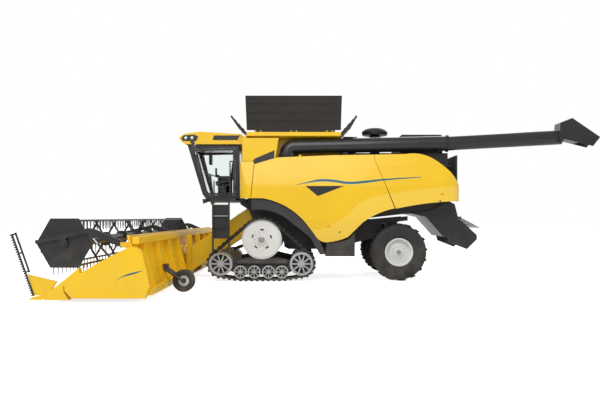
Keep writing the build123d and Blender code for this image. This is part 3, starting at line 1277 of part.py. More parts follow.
# Unloading tube: the inner section swings on the turret, the outer one folds on an upright hinge pin
tube_z, inner_slope_share, outer_slope_share = 3597, 0.0204, 0.054
fold_x, spout_x, fold_gap = -2822, -5900, 6
fold_z = tube_z + (turret_x - fold_x) * inner_slope_share
fold_hinge_out, fold_pin_r, fold_knuckle_r, fold_lug, fold_arm_y = 35, 18, 32, 60, 120
fold_hinge_y = turret_y - flange_r - fold_hinge_out
with BuildPart() as unload_inner:
    end_x = fold_x + fold_gap / 2 + flange / 2
    with BuildLine(across(turret_y)) as inner_path:
        FilletPolyline((turret_x, turret_z), (turret_x, tube_z), (end_x, fold_z), radius=tube_r + gap)
    with BuildSketch(Plane(origin=(turret_x, turret_y, turret_z))):
        Circle(tube_r)
    sweep(path=inner_path.wires()[0])
    bar((turret_x, turret_y, turret_z), (turret_x, turret_y, turret_z + flange), flange_r)
    bar((fold_x + fold_gap / 2, turret_y, fold_z), (fold_x + fold_gap / 2 + flange, turret_y, fold_z),
        flange_r)
    for low in (fold_z + fold_lug, fold_z - 2 * fold_lug):
        bar((fold_x, fold_hinge_y, low), (fold_x, fold_hinge_y, low + fold_lug), fold_knuckle_r)
        block((fold_x + fold_gap / 2, fold_hinge_y, low),
              (fold_x + fold_gap / 2 + flange, turret_y - fold_arm_y, low + fold_lug))
    bar((fold_x, fold_hinge_y, fold_z - 2 * fold_lug), (fold_x, fold_hinge_y, fold_z + 2 * fold_lug),
        fold_pin_r)
save(unload_inner.part, "unload_inner")

spout_half, spout_sheet = 215, 12
spout_origin, spout_size = (-6880, 3594), (1100, 753)
spout_share = [(0.967, 0.831), (0.677, 1), (0, 0.323), (0.1745, 0), (0.852, 0.247), (1, 0.141)]
spout_room_share = [(0.727, 0.92), (0.673, 0.937), (-0.045, 0.26), (0.2, -0.045), (0.8, 0.273)]
with BuildPart() as unload_outer:
    tip_z = fold_z + (fold_x - spout_x) * outer_slope_share
    bar((fold_x - fold_gap / 2 - flange / 2, turret_y, fold_z), (spout_x, turret_y, tip_z), outer_tube_r)
    bar((fold_x - fold_gap / 2 - flange, turret_y, fold_z), (fold_x - fold_gap / 2, turret_y, fold_z),
        flange_r)
    block((fold_x - fold_gap / 2 - flange, fold_hinge_y, fold_z - fold_lug + fold_gap / 2),
          (fold_x - fold_gap / 2, turret_y - fold_arm_y, fold_z + fold_lug - fold_gap / 2))
    bar((fold_x, fold_hinge_y, fold_z - fold_lug + fold_gap / 2),
        (fold_x, fold_hinge_y, fold_z + fold_lug - fold_gap / 2), fold_knuckle_r)
    bar((fold_x, fold_hinge_y, fold_z - 2 * fold_lug), (fold_x, fold_hinge_y, fold_z + 2 * fold_lug),
        fold_pin_r + pin_gap, mode=Mode.SUBTRACT)
    slab(spread(spout_share, spout_origin, spout_size), turret_y + spout_half, turret_y - spout_half)
    slab(spread(spout_room_share, spout_origin, spout_size), turret_y + spout_half - spout_sheet,
         turret_y - spout_half + spout_sheet, mode=Mode.SUBTRACT)
save(unload_outer.part, "unload_outer")

# Cab: a hollow frame of posts with its window openings. Shares of the cab's length and height.
cab_long, cab_high, post = 1415, 1490, 70
cab_origin, cab_size = (cab_rear, cab_floor), (cab_long, cab_high)
cab_top = cab_floor + cab_high
cab_side_share = [(0, 0), (0.643, 0), (0.707, 0.0872), (1, 1), (0, 1)]
door_hole_share = [(0.0707, 0.067), (0.608, 0.067), (0.657, 0.134), (0.869, 0.913), (0.0707, 0.933)]
screen_hole_share = [(0.615, 0.121), (0.756, 0.121), (1.11, 0.913), (0.756, 0.913)]
rear_window_low, rear_window_high, rear_window_half = 2850, 3520, 700
door_hinge_x, door_hinge_y, door_pin_r, door_knuckle_r = 2925, 974, 6, 11
door_leaf, door_knuckle_half, hinge_height_share = 60, 40, (0.2, 0.77)
door_ear = 14
with BuildPart() as cab_frame:
    cab_points = spread(cab_side_share, cab_origin, cab_size)
    slab(cab_points, cab_half, -cab_half)
    cavity(cab_points, post, cab_half - post, post - cab_half)
    slab(spread(door_hole_share, cab_origin, cab_size), cab_half + overrun, -cab_half - overrun,
         mode=Mode.SUBTRACT)
    slab(spread(screen_hole_share, cab_origin, cab_size), cab_half - post, post - cab_half,
         mode=Mode.SUBTRACT)
    block((cab_rear - overrun, -rear_window_half, rear_window_low),
          (cab_rear + 2 * post, rear_window_half, rear_window_high), mode=Mode.SUBTRACT)
    for share in hinge_height_share:
        z = cab_floor + share * cab_high
        for low in (z - door_knuckle_half - door_ear, z + door_knuckle_half + seat_gap):
            block((door_hinge_x - 2 * door_knuckle_r, cab_half - pin_r, low),
                  (door_hinge_x, door_hinge_y + door_knuckle_r, low + door_ear - seat_gap))
            bar((door_hinge_x, door_hinge_y, low), (door_hinge_x, door_hinge_y, low + door_ear - seat_gap),
                door_knuckle_r)
        bar((door_hinge_x, door_hinge_y, z - door_knuckle_half - door_ear),
            (door_hinge_x, door_hinge_y, z + door_knuckle_half + door_ear), door_pin_r)
save(cab_frame.part, "cab_frame")

# Roof: a thick cap that overhangs the windscreen
roof_half, roof_origin, roof_size = 1060, (2720, cab_top), (1742, 345)
roof_share = [(0, 0), (0, 0.783), (0.673, 1), (0.907, 0.826), (1, 0.536), (0.964, 0.203), (0.878, 0)]
roof_corner, roof_brow = 30, 60
with BuildPart() as cab_roof:
    with BuildSketch(across(roof_half)):
        with BuildLine():
            FilletPolyline(*spread(roof_share, roof_origin, roof_size),
                           radius=[roof_corner, roof_brow, 3 * roof_brow, roof_brow, roof_corner,
                                   roof_corner,
                                   roof_corner / 2], close=True)
        make_face()
    extrude(amount=2 * roof_half)
save(cab_roof.part, "cab_roof")

# Panes: right window, rear window and windscreen
pane, pane_in = 10, 12
screen_shares, screen_in = (0.128, 0.912), 45


def pane_slab(wall, y_from, y_to):
    """A pane or frame that fills the door's opening, taken in by a clearance."""
    with BuildPart() as piece:
        with BuildSketch(across(max(y_from, y_to))):
            with BuildLine():
                Polyline(*spread(door_hole_share, cab_origin, cab_size), close=True)
            make_face()
            offset(amount=-wall, kind=Kind.INTERSECTION, mode=Mode.REPLACE)
        extrude(amount=abs(y_to - y_from))
    return piece.part


with BuildPart() as cab_glass:
    add(pane_slab(seat_gap, -cab_half + pane_in, -cab_half + pane_in + pane))
    block((cab_rear + pane_in, -rear_window_half + seat_gap, rear_window_low + seat_gap),
          (cab_rear + pane_in + pane, rear_window_half - seat_gap, rear_window_high - seat_gap))
    slope = (1 - cab_side_share[2][0]) * cab_long / ((1 - cab_side_share[2][1]) * cab_high)
    screen = []
    for height_share, depth in ((screen_shares[0], screen_in), (screen_shares[0], screen_in - pane),
                                (screen_shares[-1], screen_in - pane), (screen_shares[-1], screen_in)):
        z = cab_floor + height_share * cab_high
        screen.append((cab_rear + cab_long - (cab_top - z) * slope - depth, z))
    slab(screen, cab_half - post - seat_gap, -cab_half + post + seat_gap)
save(cab_glass.part, "cab_glass")

# Door: as thick as the post it closes, with its hinge leaves and its pane
door_out, door_in, door_frame = 4, 46, 55
with BuildPart() as cab_door:
    add(pane_slab(gap, cab_half + door_out, cab_half - door_in))
    add(pane_slab(gap + door_frame, cab_half + overrun, cab_half - door_in - overrun), mode=Mode.SUBTRACT)
    for share in hinge_height_share:
        z = cab_floor + share * cab_high
        bar((door_hinge_x, door_hinge_y, z - door_knuckle_half + seat_gap),
            (door_hinge_x, door_hinge_y, z + door_knuckle_half), door_knuckle_r)
        block((door_hinge_x, cab_half + door_out - seat_gap, z - door_knuckle_half + seat_gap),
              (door_hinge_x + door_leaf, door_hinge_y, z + door_knuckle_half))
        bar((door_hinge_x, door_hinge_y, z - door_leaf), (door_hinge_x, door_hinge_y, z + door_leaf),
            door_pin_r + pin_gap, mode=Mode.SUBTRACT)
save(cab_door.part, "cab_door")
with BuildPart() as door_glass:
    add(pane_slab(gap + door_frame + seat_gap, cab_half - pane, cab_half - 2 * pane))
save(door_glass.part, "door_glass")

# Seat, steering column with its wheel, and the side console
seat_x, cushion_low, cushion_high, cushion_long, cushion_half = 3130, 2620, 2740, 470, 250
back_low, back_high, back_thick, back_lean, back_in = 2740, 3330, 100, 80, 50
base_half, base_in = 180, 120
floor_top = cab_floor + post
with BuildPart() as driver_seat:
    block((seat_x, -cushion_half, cushion_low), (seat_x + cushion_long, cushion_half, cushion_high))
    slab([(seat_x - back_in, cushion_low + base_in), (seat_x + back_in, back_low),
          (seat_x + back_in - back_thick, back_high),
          (seat_x - back_thick - back_lean + back_in, back_high)],
         cushion_half - sheet, sheet - cushion_half)
    block((seat_x + base_in, -base_half, floor_top),
          (seat_x + cushion_long - back_lean, base_half, cushion_low))
save(driver_seat.part, "driver_seat")

column_x, column_deep, column_lean, column_top, column_half = 3640, 50, 80, 2910, 40
steer_r, steer_rim, steer_high, steer_lean_share = 200, 30, 26, 0.35
console_x, console_long, console_in, console_wide, console_top = 3150, 410, 300, 180, 2900
screen_x, screen_wide, screen_tall, screen_thick = 3600, 170, 240, 40
with BuildPart() as cab_controls:
    slab([(column_x, floor_top), (column_x + column_deep, floor_top),
          (column_x + column_deep + column_lean, column_top), (column_x + column_lean, column_top)],
         column_half, -column_half)
    with BuildSketch(Plane(origin=(column_x + column_lean + steer_rim / 2, 0, column_top),
                           z_dir=(-steer_lean_share, 0, 1))):
        Circle(steer_r)
        Circle(steer_r - steer_rim, mode=Mode.SUBTRACT)
        Rectangle(2 * steer_r - steer_rim, steer_rim)
    extrude(amount=steer_high)
    block((console_x, -console_in - console_wide, floor_top),
          (console_x + console_long, -console_in, console_top))
    block((screen_x, -console_in - screen_wide - steer_rim, console_top),
          (screen_x + screen_thick, -console_in - steer_rim, console_top + screen_tall))
    block((console_x + console_long - screen_thick, -console_in - screen_wide / 2,
           console_top - screen_thick),
          (screen_x + screen_thick / 2, -console_in - screen_wide / 2 + steer_rim,
           console_top + screen_thick))
save(cab_controls.part, "cab_controls")

# Platform under and beside the cab, with the ladder and its handrails on the left
platform_rear, platform_front, plate, platform_right, cab_base_front = 2840, 3520, 50, 1260, 3700
ladder_front, ladder_rear, ladder_y, ladder_foot, stile, stile_deep = 3450, 2990, 1800, 760, 40, 82
step_z, step_half, step_deep, riser_high, rail_r = (2140, 1743, 1440, 1150, 840), 15, 130, 280, 17
rail_tall, rail_short = 3160, 2650
with BuildPart() as cab_ladder:
    block((cab_bay_x, sheet - cab_half + post, cab_seat_z),
          (cab_base_front, cab_half - post - sheet, cab_floor))
    for y in (ladder_y, -platform_right):
        block((platform_rear, 0, cab_floor - plate), (platform_front, y, cab_floor))
    for x in (ladder_front - stile / 2, ladder_rear + stile / 2):
        block((x - stile / 2, ladder_y, ladder_foot), (x + stile / 2, ladder_y + stile_deep, cab_floor))
    for z in step_z:
        block((ladder_rear + stile / 2, ladder_y, z - step_half),
              (ladder_front - stile / 2, ladder_y + step_deep, z + step_half))
    for z in step_z[1:-1]:
        block((ladder_rear + stile / 2, ladder_y, z),
              (ladder_front - stile / 2, ladder_y + sheet, z + riser_high))
    rail_y, rail_back = ladder_y - 2 * step_half, platform_rear + stile
    for x, top in ((ladder_rear, rail_tall), (ladder_front - stile, rail_short), (rail_back, rail_tall)):
        bar((x, rail_y, cab_floor - step_half), (x, rail_y, top), rail_r)
    bar((rail_back, rail_y, rail_tall), (ladder_rear, rail_y, rail_tall), rail_r)
save(cab_ladder.part, "cab_ladder")

# Straw chopper under the hood, and the spreader behind it with its swath rods
chopper_half = housing_half + 60
chopper_back, chopper_foot, chopper_toe = (-3262, 1537), (-2939, 1133), (-2804, 1160)
chopper_chin, chopper_brow = (-2330, 1700), (-3130, 2050)
with BuildPart() as straw_chopper:
    slab(
        [
            chopper_chin, (chopper_front_x, chopper_front_z - seat_gap),
            (hood_knee_x, hood_front_low - seat_gap),
            (hood_rear, hood_low - seat_gap), chopper_brow, chopper_back, chopper_foot, chopper_toe,
        ],
        chopper_half,
        -chopper_half,
    )
save(straw_chopper.part, "straw_chopper")

spreader_half, spreader_sheet, swath_rods, swath_r, swath_pitch = 820, 30, 6, 12, 280
spreader_tail, spreader_low = (-3746, 1079), (-3471, 805)
spreader_lip, spreader_chin = (-3700, 1040), (-2980, 1000)
swath_foot, swath_tip = (-3290, 1690), (-3850, 1390)
with BuildPart() as spreader_frame:
    roof_start = (chopper_back[0] - seat_gap, chopper_back[1] - seat_gap)
    slab([roof_start, (roof_start[0] - spreader_sheet, roof_start[1] + 3 * spreader_sheet),
          (spreader_tail[0], spreader_tail[1] + 4 * spreader_sheet), spreader_tail, spreader_lip],
         spreader_half, -spreader_half)
    for side in (1, -1):
        slab([(chopper_foot[0] - seat_gap, chopper_foot[1] - seat_gap), roof_start, spreader_tail,
              spreader_low,
              spreader_chin], side * spreader_half, side * (spreader_half - spreader_sheet))
        slab([roof_start, (swath_foot[0] - spreader_sheet, swath_foot[1]), (swath_foot[0], swath_foot[1])],
             side * spreader_half, side * (spreader_half - spreader_sheet))
    bar((swath_foot[0], -spreader_half, swath_foot[1]), (swath_foot[0], spreader_half, swath_foot[1]),
        2 * swath_r)
    for i in range(swath_rods):
        y = (i - (swath_rods - 1) / 2) * swath_pitch
        bar((swath_foot[0], y, swath_foot[1]), (swath_tip[0], y, swath_tip[1]), swath_r)
    add(straw_chopper.part, mode=Mode.SUBTRACT)
save(spreader_frame.part, "spreader_frame")
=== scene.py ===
import math

import bpy
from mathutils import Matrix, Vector


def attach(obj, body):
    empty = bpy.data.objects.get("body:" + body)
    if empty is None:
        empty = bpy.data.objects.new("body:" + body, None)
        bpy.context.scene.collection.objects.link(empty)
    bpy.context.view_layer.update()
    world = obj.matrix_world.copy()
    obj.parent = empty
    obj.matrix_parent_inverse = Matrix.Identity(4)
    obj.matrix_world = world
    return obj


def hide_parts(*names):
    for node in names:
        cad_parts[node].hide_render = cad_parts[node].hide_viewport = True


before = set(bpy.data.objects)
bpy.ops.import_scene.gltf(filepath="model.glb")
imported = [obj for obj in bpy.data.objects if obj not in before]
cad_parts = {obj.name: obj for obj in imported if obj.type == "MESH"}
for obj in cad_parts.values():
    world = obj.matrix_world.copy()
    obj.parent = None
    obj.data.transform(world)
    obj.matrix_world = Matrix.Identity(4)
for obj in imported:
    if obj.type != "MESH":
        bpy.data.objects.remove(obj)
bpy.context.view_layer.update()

print("frame loaded")


# Small helpers for picking, making, moving and finishing pieces. sharpFrom is the angle of an edge, in
# radians, from which it is bevelled or stays sharp.
sharpFrom = 0.6


def nothingSelected():
    if bpy.context.object and bpy.context.object.mode != "OBJECT":
        bpy.ops.object.mode_set(mode="OBJECT")
    bpy.ops.object.select_all(action="DESELECT")


def pick(piece):
    nothingSelected()
    piece.select_set(True)
    bpy.context.view_layer.objects.active = piece
    return piece


def settle(piece):
    # the place goes into the mesh, so the object sits at the origin
    pick(piece)
    bpy.ops.object.transform_apply(location=True, rotation=True, scale=True)
    return piece


def applied(piece, kind, **values):
    pick(piece)
    modifier = piece.modifiers.new(kind.lower(), kind)
    for key, value in values.items():
        setattr(modifier, key, value)
    bpy.ops.object.modifier_apply(modifier=modifier.name)
    return piece


def softened(piece, width, segments=2):
    return applied(piece, "BEVEL", width=width, segments=segments, limit_method="ANGLE",
                   angle_limit=sharpFrom)


def boxPiece(low, high, soft=0.004):
    nothingSelected()
    middle = [(a + b) / 2 for a, b in zip(low, high)]
    bpy.ops.mesh.primitive_cube_add(size=1, location=middle)
    piece = bpy.context.object
    piece.scale = [abs(b - a) for a, b in zip(low, high)]
    settle(piece)
    if soft:
        softened(piece, soft)
    return piece


def rodPiece(start, end, radius, sides=16, endRadius=None, soft=0):
    nothingSelected()
    start, end = Vector(start), Vector(end)
    run = end - start
    bpy.ops.mesh.primitive_cone_add(
        vertices=sides, radius1=radius, radius2=radius if endRadius is None else endRadius,
        depth=run.length, location=(start + end) / 2)
    piece = bpy.context.object
    piece.rotation_euler = run.to_track_quat("Z", "Y").to_euler()
    settle(piece)
    if soft:
        softened(piece, soft)
    return piece


def joined(pieces):
    pick(pieces[0])
    for piece in pieces:
        piece.select_set(True)
    bpy.ops.object.join()
    return bpy.context.object


def mirrored(piece):
    # the same piece on the machine's other side
    pick(piece)
    bpy.ops.object.duplicate(linked=False)
    twin = bpy.context.object
    twin.scale = (1, -1, 1)
    settle(twin)
    pick(twin)
    bpy.ops.object.mode_set(mode="EDIT")
    bpy.ops.mesh.select_all(action="SELECT")
    bpy.ops.mesh.normals_make_consistent(inside=False)
    bpy.ops.object.mode_set(mode="OBJECT")
    return twin


def tubePiece(points, radius, smooth=True):
    # a bent bar or pipe along a few points
    nothingSelected()
    curve = bpy.data.curves.new("run", "CURVE")
    curve.dimensions = "3D"
    curve.bevel_depth = radius
    curve.bevel_resolution = 3
    curve.use_fill_caps = True
    spline = curve.splines.new("NURBS" if smooth else "POLY")
    spline.points.add(len(points) - 1)
    for point, place in zip(spline.points, points):
        point.co = (*place, 1)
    if smooth:
        spline.order_u = 3
        spline.use_endpoint_u = True
    piece = bpy.data.objects.new("run", curve)
    bpy.context.scene.collection.objects.link(piece)
    pick(piece)
    bpy.ops.object.convert(target="MESH")
    return bpy.context.object


def finished(piece, name, body, finish):
    piece.name = name
    piece.data.name = name
    piece.data.materials.clear()
    piece.data.materials.append(finish)
    pick(piece)
    bpy.ops.object.shade_smooth_by_angle(angle=sharpFrom)
    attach(piece, body)
    return piece


# Shader groups shared by the finishes
driftValues = dict(detail=4, low=0.3, high=0.7, dark=(0.25, 0.22, 0.2, 1))
rubValues = dict(detail=8, start=0.82, share=0.3, width=0.05)
dustValues = dict(scale=3.0, detail=6, low=0.35, high=0.75, atCeiling=0.12)
grainDetail = 6


def newGroup(name, inputs, outputs):
    group = bpy.data.node_groups.new(name, "ShaderNodeTree")
    for label, kind, value in inputs:
        socket = group.interface.new_socket(name=label, in_out="INPUT", socket_type=kind)
        socket.default_value = value
    for label, kind in outputs:
        group.interface.new_socket(name=label, in_out="OUTPUT", socket_type=kind)
    return group, group.nodes.new("NodeGroupInput"), group.nodes.new("NodeGroupOutput")


def addNode(tree, kind, **values):
    node = tree.nodes.new(kind)
    for key, value in values.items():
        setattr(node, key, value)
    return node


def feed(tree, value, socket):
    # a plain value is set, and another node's output is linked
    if isinstance(value, (int, float, tuple)):
        socket.default_value = value
    else:
        tree.links.new(value, socket)


def mathNode(tree, operation, *values, clamp=False):
    node = addNode(tree, "ShaderNodeMath", operation=operation, use_clamp=clamp)
    for value, socket in zip(values, node.inputs):
        feed(tree, value, socket)
    return node.outputs[0]


def mixColour(tree, mask, first, second, blend="MIX"):
    # a colour mix takes its mask at input 0 and its colours at 6 and 7, and gives its result at output 2
    node = addNode(tree, "ShaderNodeMix", data_type="RGBA", blend_type=blend)
    for socketNumber, value in ((0, mask), (6, first), (7, second)):
        feed(tree, value, node.inputs[socketNumber])
    return node.outputs[2]


def spreadOver(tree, value, fromLow, fromHigh, toLow=0.0, toHigh=1.0):
    node = addNode(tree, "ShaderNodeMapRange", clamp=True)
    tree.links.new(value, node.inputs["Value"])
    limits = {"From Min": fromLow, "From Max": fromHigh, "To Min": toLow, "To Max": toHigh}
    for label, limit in limits.items():
        feed(tree, limit, node.inputs[label])
    return node.outputs["Result"]


def noiseNode(tree, scale, detail, place=None):
    node = addNode(tree, "ShaderNodeTexNoise")
    node.inputs["Detail"].default_value = detail
    feed(tree, scale, node.inputs["Scale"])
    if place is None:
        place = addNode(tree, "ShaderNodeTexCoord").outputs["Object"]
    tree.links.new(place, node.inputs["Vector"])
    return node.outputs["Fac"]


def makeToneDrift():
    # slow clouds in which the colour darkens a little
    group, gave, gives = newGroup(
        "toneDrift",
        [("Colour", "NodeSocketColor", (1, 1, 1, 1)), ("Drift", "NodeSocketFloat", 0.1),
         ("Scale", "NodeSocketFloat", 1.5)],
        [("Colour", "NodeSocketColor")])
    cloud = noiseNode(group, gave.outputs["Scale"], driftValues["detail"])
    spread = spreadOver(group, cloud, driftValues["low"], driftValues["high"])
    amount = mathNode(group, "MULTIPLY", spread, gave.outputs["Drift"])
    dark = mixColour(group, amount, gave.outputs["Colour"], driftValues["dark"], "MULTIPLY")
    group.links.new(dark, gives.inputs["Colour"])
    return group


def makeRubbedSpots():
    # small rubbed and chipped spots, wider as the amount rises
    group, gave, gives = newGroup(
        "rubbedSpots",
        [("Colour", "NodeSocketColor", (1, 1, 1, 1)), ("Worn", "NodeSocketColor", (0.3, 0.3, 0.3, 1)),
         ("Amount", "NodeSocketFloat", 0.2), ("Scale", "NodeSocketFloat", 9)],
        [("Colour", "NodeSocketColor"), ("Mask", "NodeSocketFloat")])
    spots = noiseNode(group, gave.outputs["Scale"], rubValues["detail"])
    lowered = mathNode(group, "MULTIPLY", gave.outputs["Amount"], rubValues["share"])
    low = mathNode(group, "SUBTRACT", rubValues["start"], lowered)
    high = mathNode(group, "ADD", low, rubValues["width"])
    mask = spreadOver(group, spots, low, high)
    worn = mixColour(group, mask, gave.outputs["Colour"], gave.outputs["Worn"])
    group.links.new(worn, gives.inputs["Colour"])
    group.links.new(mask, gives.inputs["Mask"])
    return group


def makeFieldDust():
    # dust that thins out with height and breaks up in patches
    group, gave, gives = newGroup(
        "fieldDust",
        [("Colour", "NodeSocketColor", (1, 1, 1, 1)), ("Dust", "NodeSocketColor", (0.42, 0.35, 0.26, 1)),
         ("Amount", "NodeSocketFloat", 0.2), ("Ceiling", "NodeSocketFloat", 1.6)],
        [("Colour", "NodeSocketColor"), ("Mask", "NodeSocketFloat")])
    place = addNode(group, "ShaderNodeTexCoord").outputs["Object"]
    height = addNode(group, "ShaderNodeSeparateXYZ")
    group.links.new(place, height.inputs[0])
    low = spreadOver(group, height.outputs["Z"], 0.0, gave.outputs["Ceiling"], 1.0, dustValues["atCeiling"])
    cloud = noiseNode(group, dustValues["scale"], dustValues["detail"], place)
    patches = spreadOver(group, cloud, dustValues["low"], dustValues["high"])
    mask = mathNode(group, "MULTIPLY", mathNode(group, "MULTIPLY", low, patches), gave.outputs["Amount"])
    dusty = mixColour(group, mask, gave.outputs["Colour"], gave.outputs["Dust"])
    group.links.new(dusty, gives.inputs["Colour"])
    group.links.new(mask, gives.inputs["Mask"])
    return group


def makeFineGrain():
    # fine noise in the roughness, and its height for the bump
    group, gave, gives = newGroup(
        "fineGrain",
        [("Scale", "NodeSocketFloat", 60), ("Roughness", "NodeSocketFloat", 0.4),
         ("Spread", "NodeSocketFloat", 0.08)],
        [("Roughness", "NodeSocketFloat"), ("Height", "NodeSocketFloat")])
    grain = noiseNode(group, gave.outputs["Scale"], grainDetail)
    away = mathNode(group, "MULTIPLY", mathNode(group, "SUBTRACT", grain, 0.5), gave.outputs["Spread"])
    rough = mathNode(group, "ADD", gave.outputs["Roughness"], away, clamp=True)
    group.links.new(rough, gives.inputs["Roughness"])
    group.links.new(grain, gives.inputs["Height"])
    return group


toneDrift = makeToneDrift()
rubbedSpots = makeRubbedSpots()
fieldDust = makeFieldDust()
fineGrain = makeFineGrain()


def placeGroup(tree, group, **values):
    node = addNode(tree, "ShaderNodeGroup", node_tree=group)
    for label, value in values.items():
        feed(tree, value, node.inputs[label])
    return node


# Each finish: paint or material colour, what shows through where it is rubbed, and its grain. grainDepth is
# the depth of the bump, and dustRough is what full dust adds to the roughness.
grainDepth, dustRough = 0.004, 0.5
finishValues = {
    "warmYellow": dict(
        colour=(0.92, 0.565, 0.001), worn=(0.75, 0.45, 0.05), rough=0.36, coat=0.2,
        drift=0.08, rub=0.03, dust=0.10, ceiling=1.4, grain=120, bump=0.02),
    "satinBlack": dict(
        colour=(0.016, 0.016, 0.018), worn=(0.09, 0.09, 0.09), rough=0.34, coat=0.25,
        drift=0.3, rub=0.12, dust=0.16, ceiling=1.6, grain=90, bump=0.04),
    "coverBlack": dict(
        colour=(0.022, 0.020, 0.020), worn=(0.06, 0.06, 0.06), rough=0.5,
        drift=0.35, rub=0.1, dust=0.12, ceiling=5.0, grain=70, bump=0.06),
    "grainedPlastic": dict(
        colour=(0.028, 0.029, 0.032), worn=(0.08, 0.08, 0.08), rough=0.55,
        drift=0.25, rub=0.1, dust=0.2, ceiling=1.8, grain=260, bump=0.16),
    "chassisGrey": dict(
        colour=(0.035, 0.037, 0.04), worn=(0.16, 0.15, 0.14), rough=0.48,
        drift=0.35, rub=0.2, dust=0.3, ceiling=1.7, grain=70, bump=0.08),
    "beltRubber": dict(
        colour=(0.016, 0.016, 0.017), worn=(0.06, 0.06, 0.058), rough=0.72,
        drift=0.3, rub=0.3, dust=0.3, ceiling=0.9, grain=180, bump=0.2),
    "tyreRubber": dict(
        colour=(0.018, 0.018, 0.019), worn=(0.06, 0.06, 0.058), rough=0.7,
        drift=0.3, rub=0.3, dust=0.25, ceiling=1.2, grain=200, bump=0.2),
    "wheelWhite": dict(
        colour=(0.76, 0.76, 0.74), worn=(0.35, 0.33, 0.3), rough=0.38, coat=0.3,
        drift=0.12, rub=0.12, dust=0.14, ceiling=1.6, grain=80, bump=0.03),
    "castSilver": dict(
        colour=(0.52, 0.53, 0.54), worn=(0.3, 0.3, 0.3), rough=0.42, metallic=0.75,
        drift=0.2, rub=0.25, dust=0.2, ceiling=1.0, grain=90, bump=0.12),
    "wornSteel": dict(
        colour=(0.42, 0.41, 0.4), worn=(0.16, 0.10, 0.07), rough=0.36, metallic=1.0,
        drift=0.25, rub=0.3, dust=0.2, ceiling=1.0, grain=140, bump=0.06),
    "hardChrome": dict(
        colour=(0.75, 0.76, 0.77), worn=(0.4, 0.4, 0.4), rough=0.12, metallic=1.0,
        drift=0.05, rub=0.02, dust=0.04, ceiling=1.6, grain=200, bump=0.01),
    "engineIron": dict(
        colour=(0.07, 0.07, 0.07), worn=(0.2, 0.18, 0.16), rough=0.6, metallic=0.5,
        drift=0.3, rub=0.3, dust=0.2, ceiling=3.5, grain=60, bump=0.2),
    "amberLens": dict(
        colour=(0.9, 0.28, 0.01), worn=(0.9, 0.4, 0.1), rough=0.2, coat=0.6,
        drift=0.05, rub=0.0, dust=0.05, ceiling=2.0, grain=220, bump=0.05),
    "redLens": dict(
        colour=(0.6, 0.01, 0.01), worn=(0.6, 0.1, 0.1), rough=0.2, coat=0.6,
        drift=0.05, rub=0.0, dust=0.05, ceiling=2.0, grain=220, bump=0.05),
    "lampLens": dict(
        colour=(0.72, 0.74, 0.76), worn=(0.6, 0.6, 0.6), rough=0.12, coat=0.8,
        drift=0.1, rub=0.0, dust=0.03, ceiling=2.0, grain=300, bump=0.08),
    "mirrorFace": dict(
        colour=(0.8, 0.82, 0.84), worn=(0.7, 0.7, 0.7), rough=0.05, metallic=1.0,
        drift=0.02, rub=0.0, dust=0.02, ceiling=2.0, grain=200, bump=0.0),
}


def newFinish(name):
    finish = bpy.data.materials.new(name)
    finish.use_nodes = True
    return finish, finish.node_tree, finish.node_tree.nodes["Principled BSDF"]


def makeFinish(name, values):
    finish, tree, shader = newFinish(name)
    drifted = placeGroup(tree, toneDrift, Colour=(*values["colour"], 1), Drift=values["drift"])
    rubbed = placeGroup(tree, rubbedSpots, Colour=drifted.outputs["Colour"], Worn=(*values["worn"], 1),
                        Amount=values["rub"])
    dusted = placeGroup(tree, fieldDust, Colour=rubbed.outputs["Colour"], Amount=values["dust"],
                        Ceiling=values["ceiling"])
    grained = placeGroup(tree, fineGrain, Scale=values["grain"], Roughness=values["rough"])
    bump = addNode(tree, "ShaderNodeBump")
    bump.inputs["Strength"].default_value = values["bump"]
    bump.inputs["Distance"].default_value = grainDepth
    matt = mathNode(tree, "MULTIPLY", dusted.outputs["Mask"], dustRough)
    rough = mathNode(tree, "ADD", grained.outputs["Roughness"], matt, clamp=True)
    tree.links.new(dusted.outputs["Colour"], shader.inputs["Base Color"])
    tree.links.new(rough, shader.inputs["Roughness"])
    tree.links.new(grained.outputs["Height"], bump.inputs["Height"])
    tree.links.new(bump.outputs["Normal"], shader.inputs["Normal"])
    shader.inputs["Metallic"].default_value = values.get("metallic", 0.0)
    shader.inputs["Coat Weight"].default_value = values.get("coat", 0.0)
    return finish


finishes = {name: makeFinish(name, values) for name, values in finishValues.items()}

# Painted bands and a painted highlight: a swept stripe, a pressed crease and a dark vent on the side panels,
# with a painted highlight on their lower flank where the chamfer along the lower edge catches the light, and
# a short stripe on the header's ends. A span is the box, in length and height, that a curve is drawn in.
# The stripe ends at its reach, is full from its taper on, and half and edge are its core's and its rim's
# half widths.
panelMarks = dict(
    span=((-2.30, 2.30), (1.80, 3.30)), reach=(1.27, -2.05), taper=(0.6, -0.4), half=0.021, edge=0.036,
    stripe=((1.274, 2.536), (0.95, 2.61), (0.60, 2.666), (0.277, 2.653), (-0.157, 2.597), (-0.50, 2.62),
            (-1.019, 2.679), (-2.045, 2.748)),
    crease=((1.80, 2.45), (1.30, 2.60), (0.922, 2.692), (0.06, 2.854), (-0.94, 2.975), (-1.558, 3.031),
            (-2.28, 3.046)),
    creaseHalf=0.011, grainShare=0.05, stepHalf=0.02, stepHeight=1.5, bump=0.35,
    vent=((-0.022, 2.518), (0.679, 2.248), (1.005, 2.518)), ventColour=(0.012, 0.012, 0.013, 1),
    # the paler lower flank below this line is a painted highlight: the light that the chamfer along the
    # panel's lower edge catches
    chamferHighlightSpan=((-2.55, 1.30), (0.62, 2.60)), chamferHighlight=(0.96, 0.66, 0.09, 1), chamferHighlightShare=0.55,
    chamferHighlightEdge=((0.60, 1.37), (-0.048, 1.698), (-0.479, 2.10), (-1.019, 2.275), (-1.828, 2.396), (-2.553, 2.491)),
)
